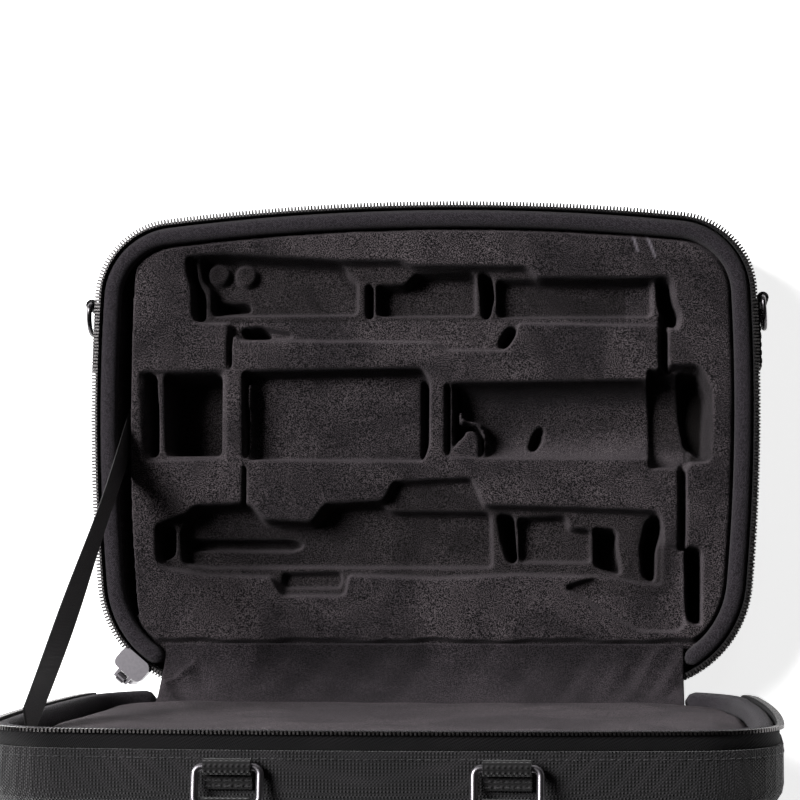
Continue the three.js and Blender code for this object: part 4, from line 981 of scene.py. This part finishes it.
# The carrying handle: a padded grip of the shells' cloth over foam, with a webbing strap through it whose ends loop
# round two nickel rings. Two tabs sewn to the lid's front wall hold the rings.
handle_spread = 0.055
handle_height = 0.014
handle_wire = 0.0016
handle_bar_half = 0.013
handle_ring_length = 0.015
handle_ring_bend = 0.003
handle_rest = math.radians(10)
grip_distance = 0.034
grip_length = 0.134
grip_width = 0.023
grip_thickness = 0.012
handle_loop_radius = handle_wire + loop_gap + webbing_thickness
handle_wall_y = front_centre[1] + math.sqrt(front_bow_radius ** 2 - (handle_spread - handle_bar_half) ** 2)
handle_axis_y = handle_wall_y + wall_gap + handle_loop_radius
HANDLE = LID @ Matrix.Translation((0, handle_axis_y, handle_height)) @ Matrix.Rotation(-handle_rest, 4, "X")
for hand, _ in HANDS:
    rounded_copy("handle_tab_" + hand, 0.0003, "lid", webbing, 2, 50)


def rounded_frame(half_width, length, bend):
    """A rectangular ring's middle line in the XZ plane, its lower bar on the X axis."""
    side, high = half_width - bend, length - bend
    return [(cx + bend * math.cos(t), 0, cz + bend * math.sin(t))
            for cx, cz, start in ((side, high, 0), (-side, high, 90), (-side, bend, 180), (side, bend, 270))
            for t in np.radians(np.linspace(start, start + 90, 8))]


for hand, way in HANDS:
    path = [(way * handle_spread + x, y, z) for x, y, z in rounded_frame(
        handle_bar_half, handle_ring_length, handle_ring_bend)]
    ring = bent_wire("handle_ring_wire_" + hand, path, handle_wire, 12, HANDLE, 1, hardware_nickel)
    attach(ring, "handle")
    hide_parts("handle_ring_" + hand)

# The grip's body: fullest in the middle, pinched at its sewn ends, with a seam along each side
grip_rounds = 64
grip_sides = 40
end_fullness = 0.60
pucker_depth = 0.012
seam_depth = 0.10
points = []
for k in range(grip_rounds + 1):
    share = -1 + 2 * k / grip_rounds
    share = math.copysign(1 - (1 - abs(share)) ** 1.25, share)
    fullness = end_fullness + (1 - end_fullness) * (1 - abs(share) ** 6)
    pucker = 1 - pucker_depth * math.sin(grip_rounds * share * 1.7) ** 2 * abs(share)
    for i in range(grip_sides):
        turn = math.tau * i / grip_sides
        seam = 1 - seam_depth * math.exp(-((math.cos(turn) ** 2 - 1) / 0.05) ** 2)
        wide = squared(math.cos(turn), 0.62) * grip_width / 2 * fullness * seam
        thick = squared(math.sin(turn), 0.75) * grip_thickness / 2 * fullness * pucker
        points.append((share * grip_length / 2, thick, grip_distance + wide))
grip_cloth = cloth_material("grip_cloth", (29, 28, 30), (41, 39, 41), {"Threads": 1100}, 0.0002, 0.15)
grip = closed_body("grip_padding", points, tube_faces(grip_rounds + 1, grip_sides), grip_cloth, HANDLE)
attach(grip, "handle")
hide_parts("handle_grip")

# The strap's two ends: webbing that leaves the grip, goes round the ring's upper bar and comes back
strap_width = 0.019
strap_tuck = 0.008
strap_wrap = 2.2
strap_squeeze = 0.8
loop_middle = handle_wire + loop_gap + webbing_thickness / 2
for hand, way in HANDS:
    around = [(math.sin(t) * loop_middle, handle_ring_length - math.cos(t) * loop_middle)
              for t in np.linspace(-strap_wrap, strap_wrap, 25)]
    lead_in = [(y * strap_squeeze, grip_distance - strap_tuck) for y in (around[0][0], around[-1][0])]
    path = np.array([lead_in[0], *around, lead_in[1]])
    fine_path = np.repeat(path, 2, axis=0)[:-1]
    fine_path[1::2] += np.diff(path, axis=0) / 2
    strap, strap_run = cloth_strip("grip_strap_" + hand, fine_path, webbing_thickness, strap_width / 2, 16, webbing)
    strap.data.transform(HANDLE @ Matrix.Translation((way * handle_spread, 0, 0)))
    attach(strap, "handle")

# Stitches: bonded black thread in even lockstitch, round both shells under the zip, in a box on each strap tab and in
# two rows on each of the handle's tabs.
thread = cloth_material("bonded_thread", (30, 29, 31), (56, 54, 57), {"Threads": 4000}, 0.00004, 0.2, 0.5)


def stitch_shape(tree, start):
    """One visible stitch: a short thick thread with both ends going down into the cloth."""
    shape = tree.nodes.new("GeometryNodeMeshUVSphere")
    set_inputs(shape, Segments=6, Rings=5, Radius=0.5)
    scaled = tree.nodes.new("GeometryNodeTransform")
    tree.links.new(shape.outputs["Mesh"], scaled.inputs["Geometry"])
    tree.links.new(sized(tree, start), scaled.inputs["Scale"])
    return scaled.outputs["Geometry"]


stitch_row = row_tree("stitch_row", stitch_shape)
stitch_pitch = 0.0034
stitch_size = (0.0029, 0.00055, 0.00045)


def stitches(name, body, paths, into):
    row = row_piece(name, stitch_row, paths, thread, stitch_pitch, stitch_size, into)
    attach(row, body)


rim_stitch_drop = 0.0112
rim_stitch_step = 0.004
rim_stitch_turn = math.radians(-80)
stitch_proud = 0.0001
for body, side, into in BOTH_HALVES:
    rows = along_rim(rim_stitch_turn, rim_stitch_step)
    stitches(body + "_rim_stitches", body, [[(x + nx * stitch_proud, y + ny * stitch_proud, side * rim_stitch_drop)
                                             for x, y, nx, ny in rows]], into)

tail_thickness = 0.0012
box_rear, box_front, box_half_height = 0.0400, 0.0560, 0.0075
tab_row_half = 0.008
tab_row_heights = (0.0055, 0.0078)
box_path = [(y, z * box_half_height) for y, z in (
    (box_rear, -1), (box_front, -1), (box_front, 1), (box_rear, 1), (box_rear, -1), (box_front, 1))]
for hand, way in HANDS:
    corners = [(way * x, y, z + ring_z) for (x, y), z in (
        (beside_end(y, wall_gap + tail_thickness + stitch_proud), z) for y, z in box_path)]
    stitches("tab_stitches_" + hand, "base", list(zip(corners[:-1], corners[1:])), Matrix.Identity(4))
for hand, way in HANDS:
    x, y = way * handle_spread, handle_axis_y - handle_loop_radius + webbing_thickness + stitch_proud
    rows = [[(x + end, y, handle_height + z) for end in (-tab_row_half, tab_row_half)] for z in tab_row_heights]
    stitches("handle_tab_stitches_" + hand, "lid", rows, LID)
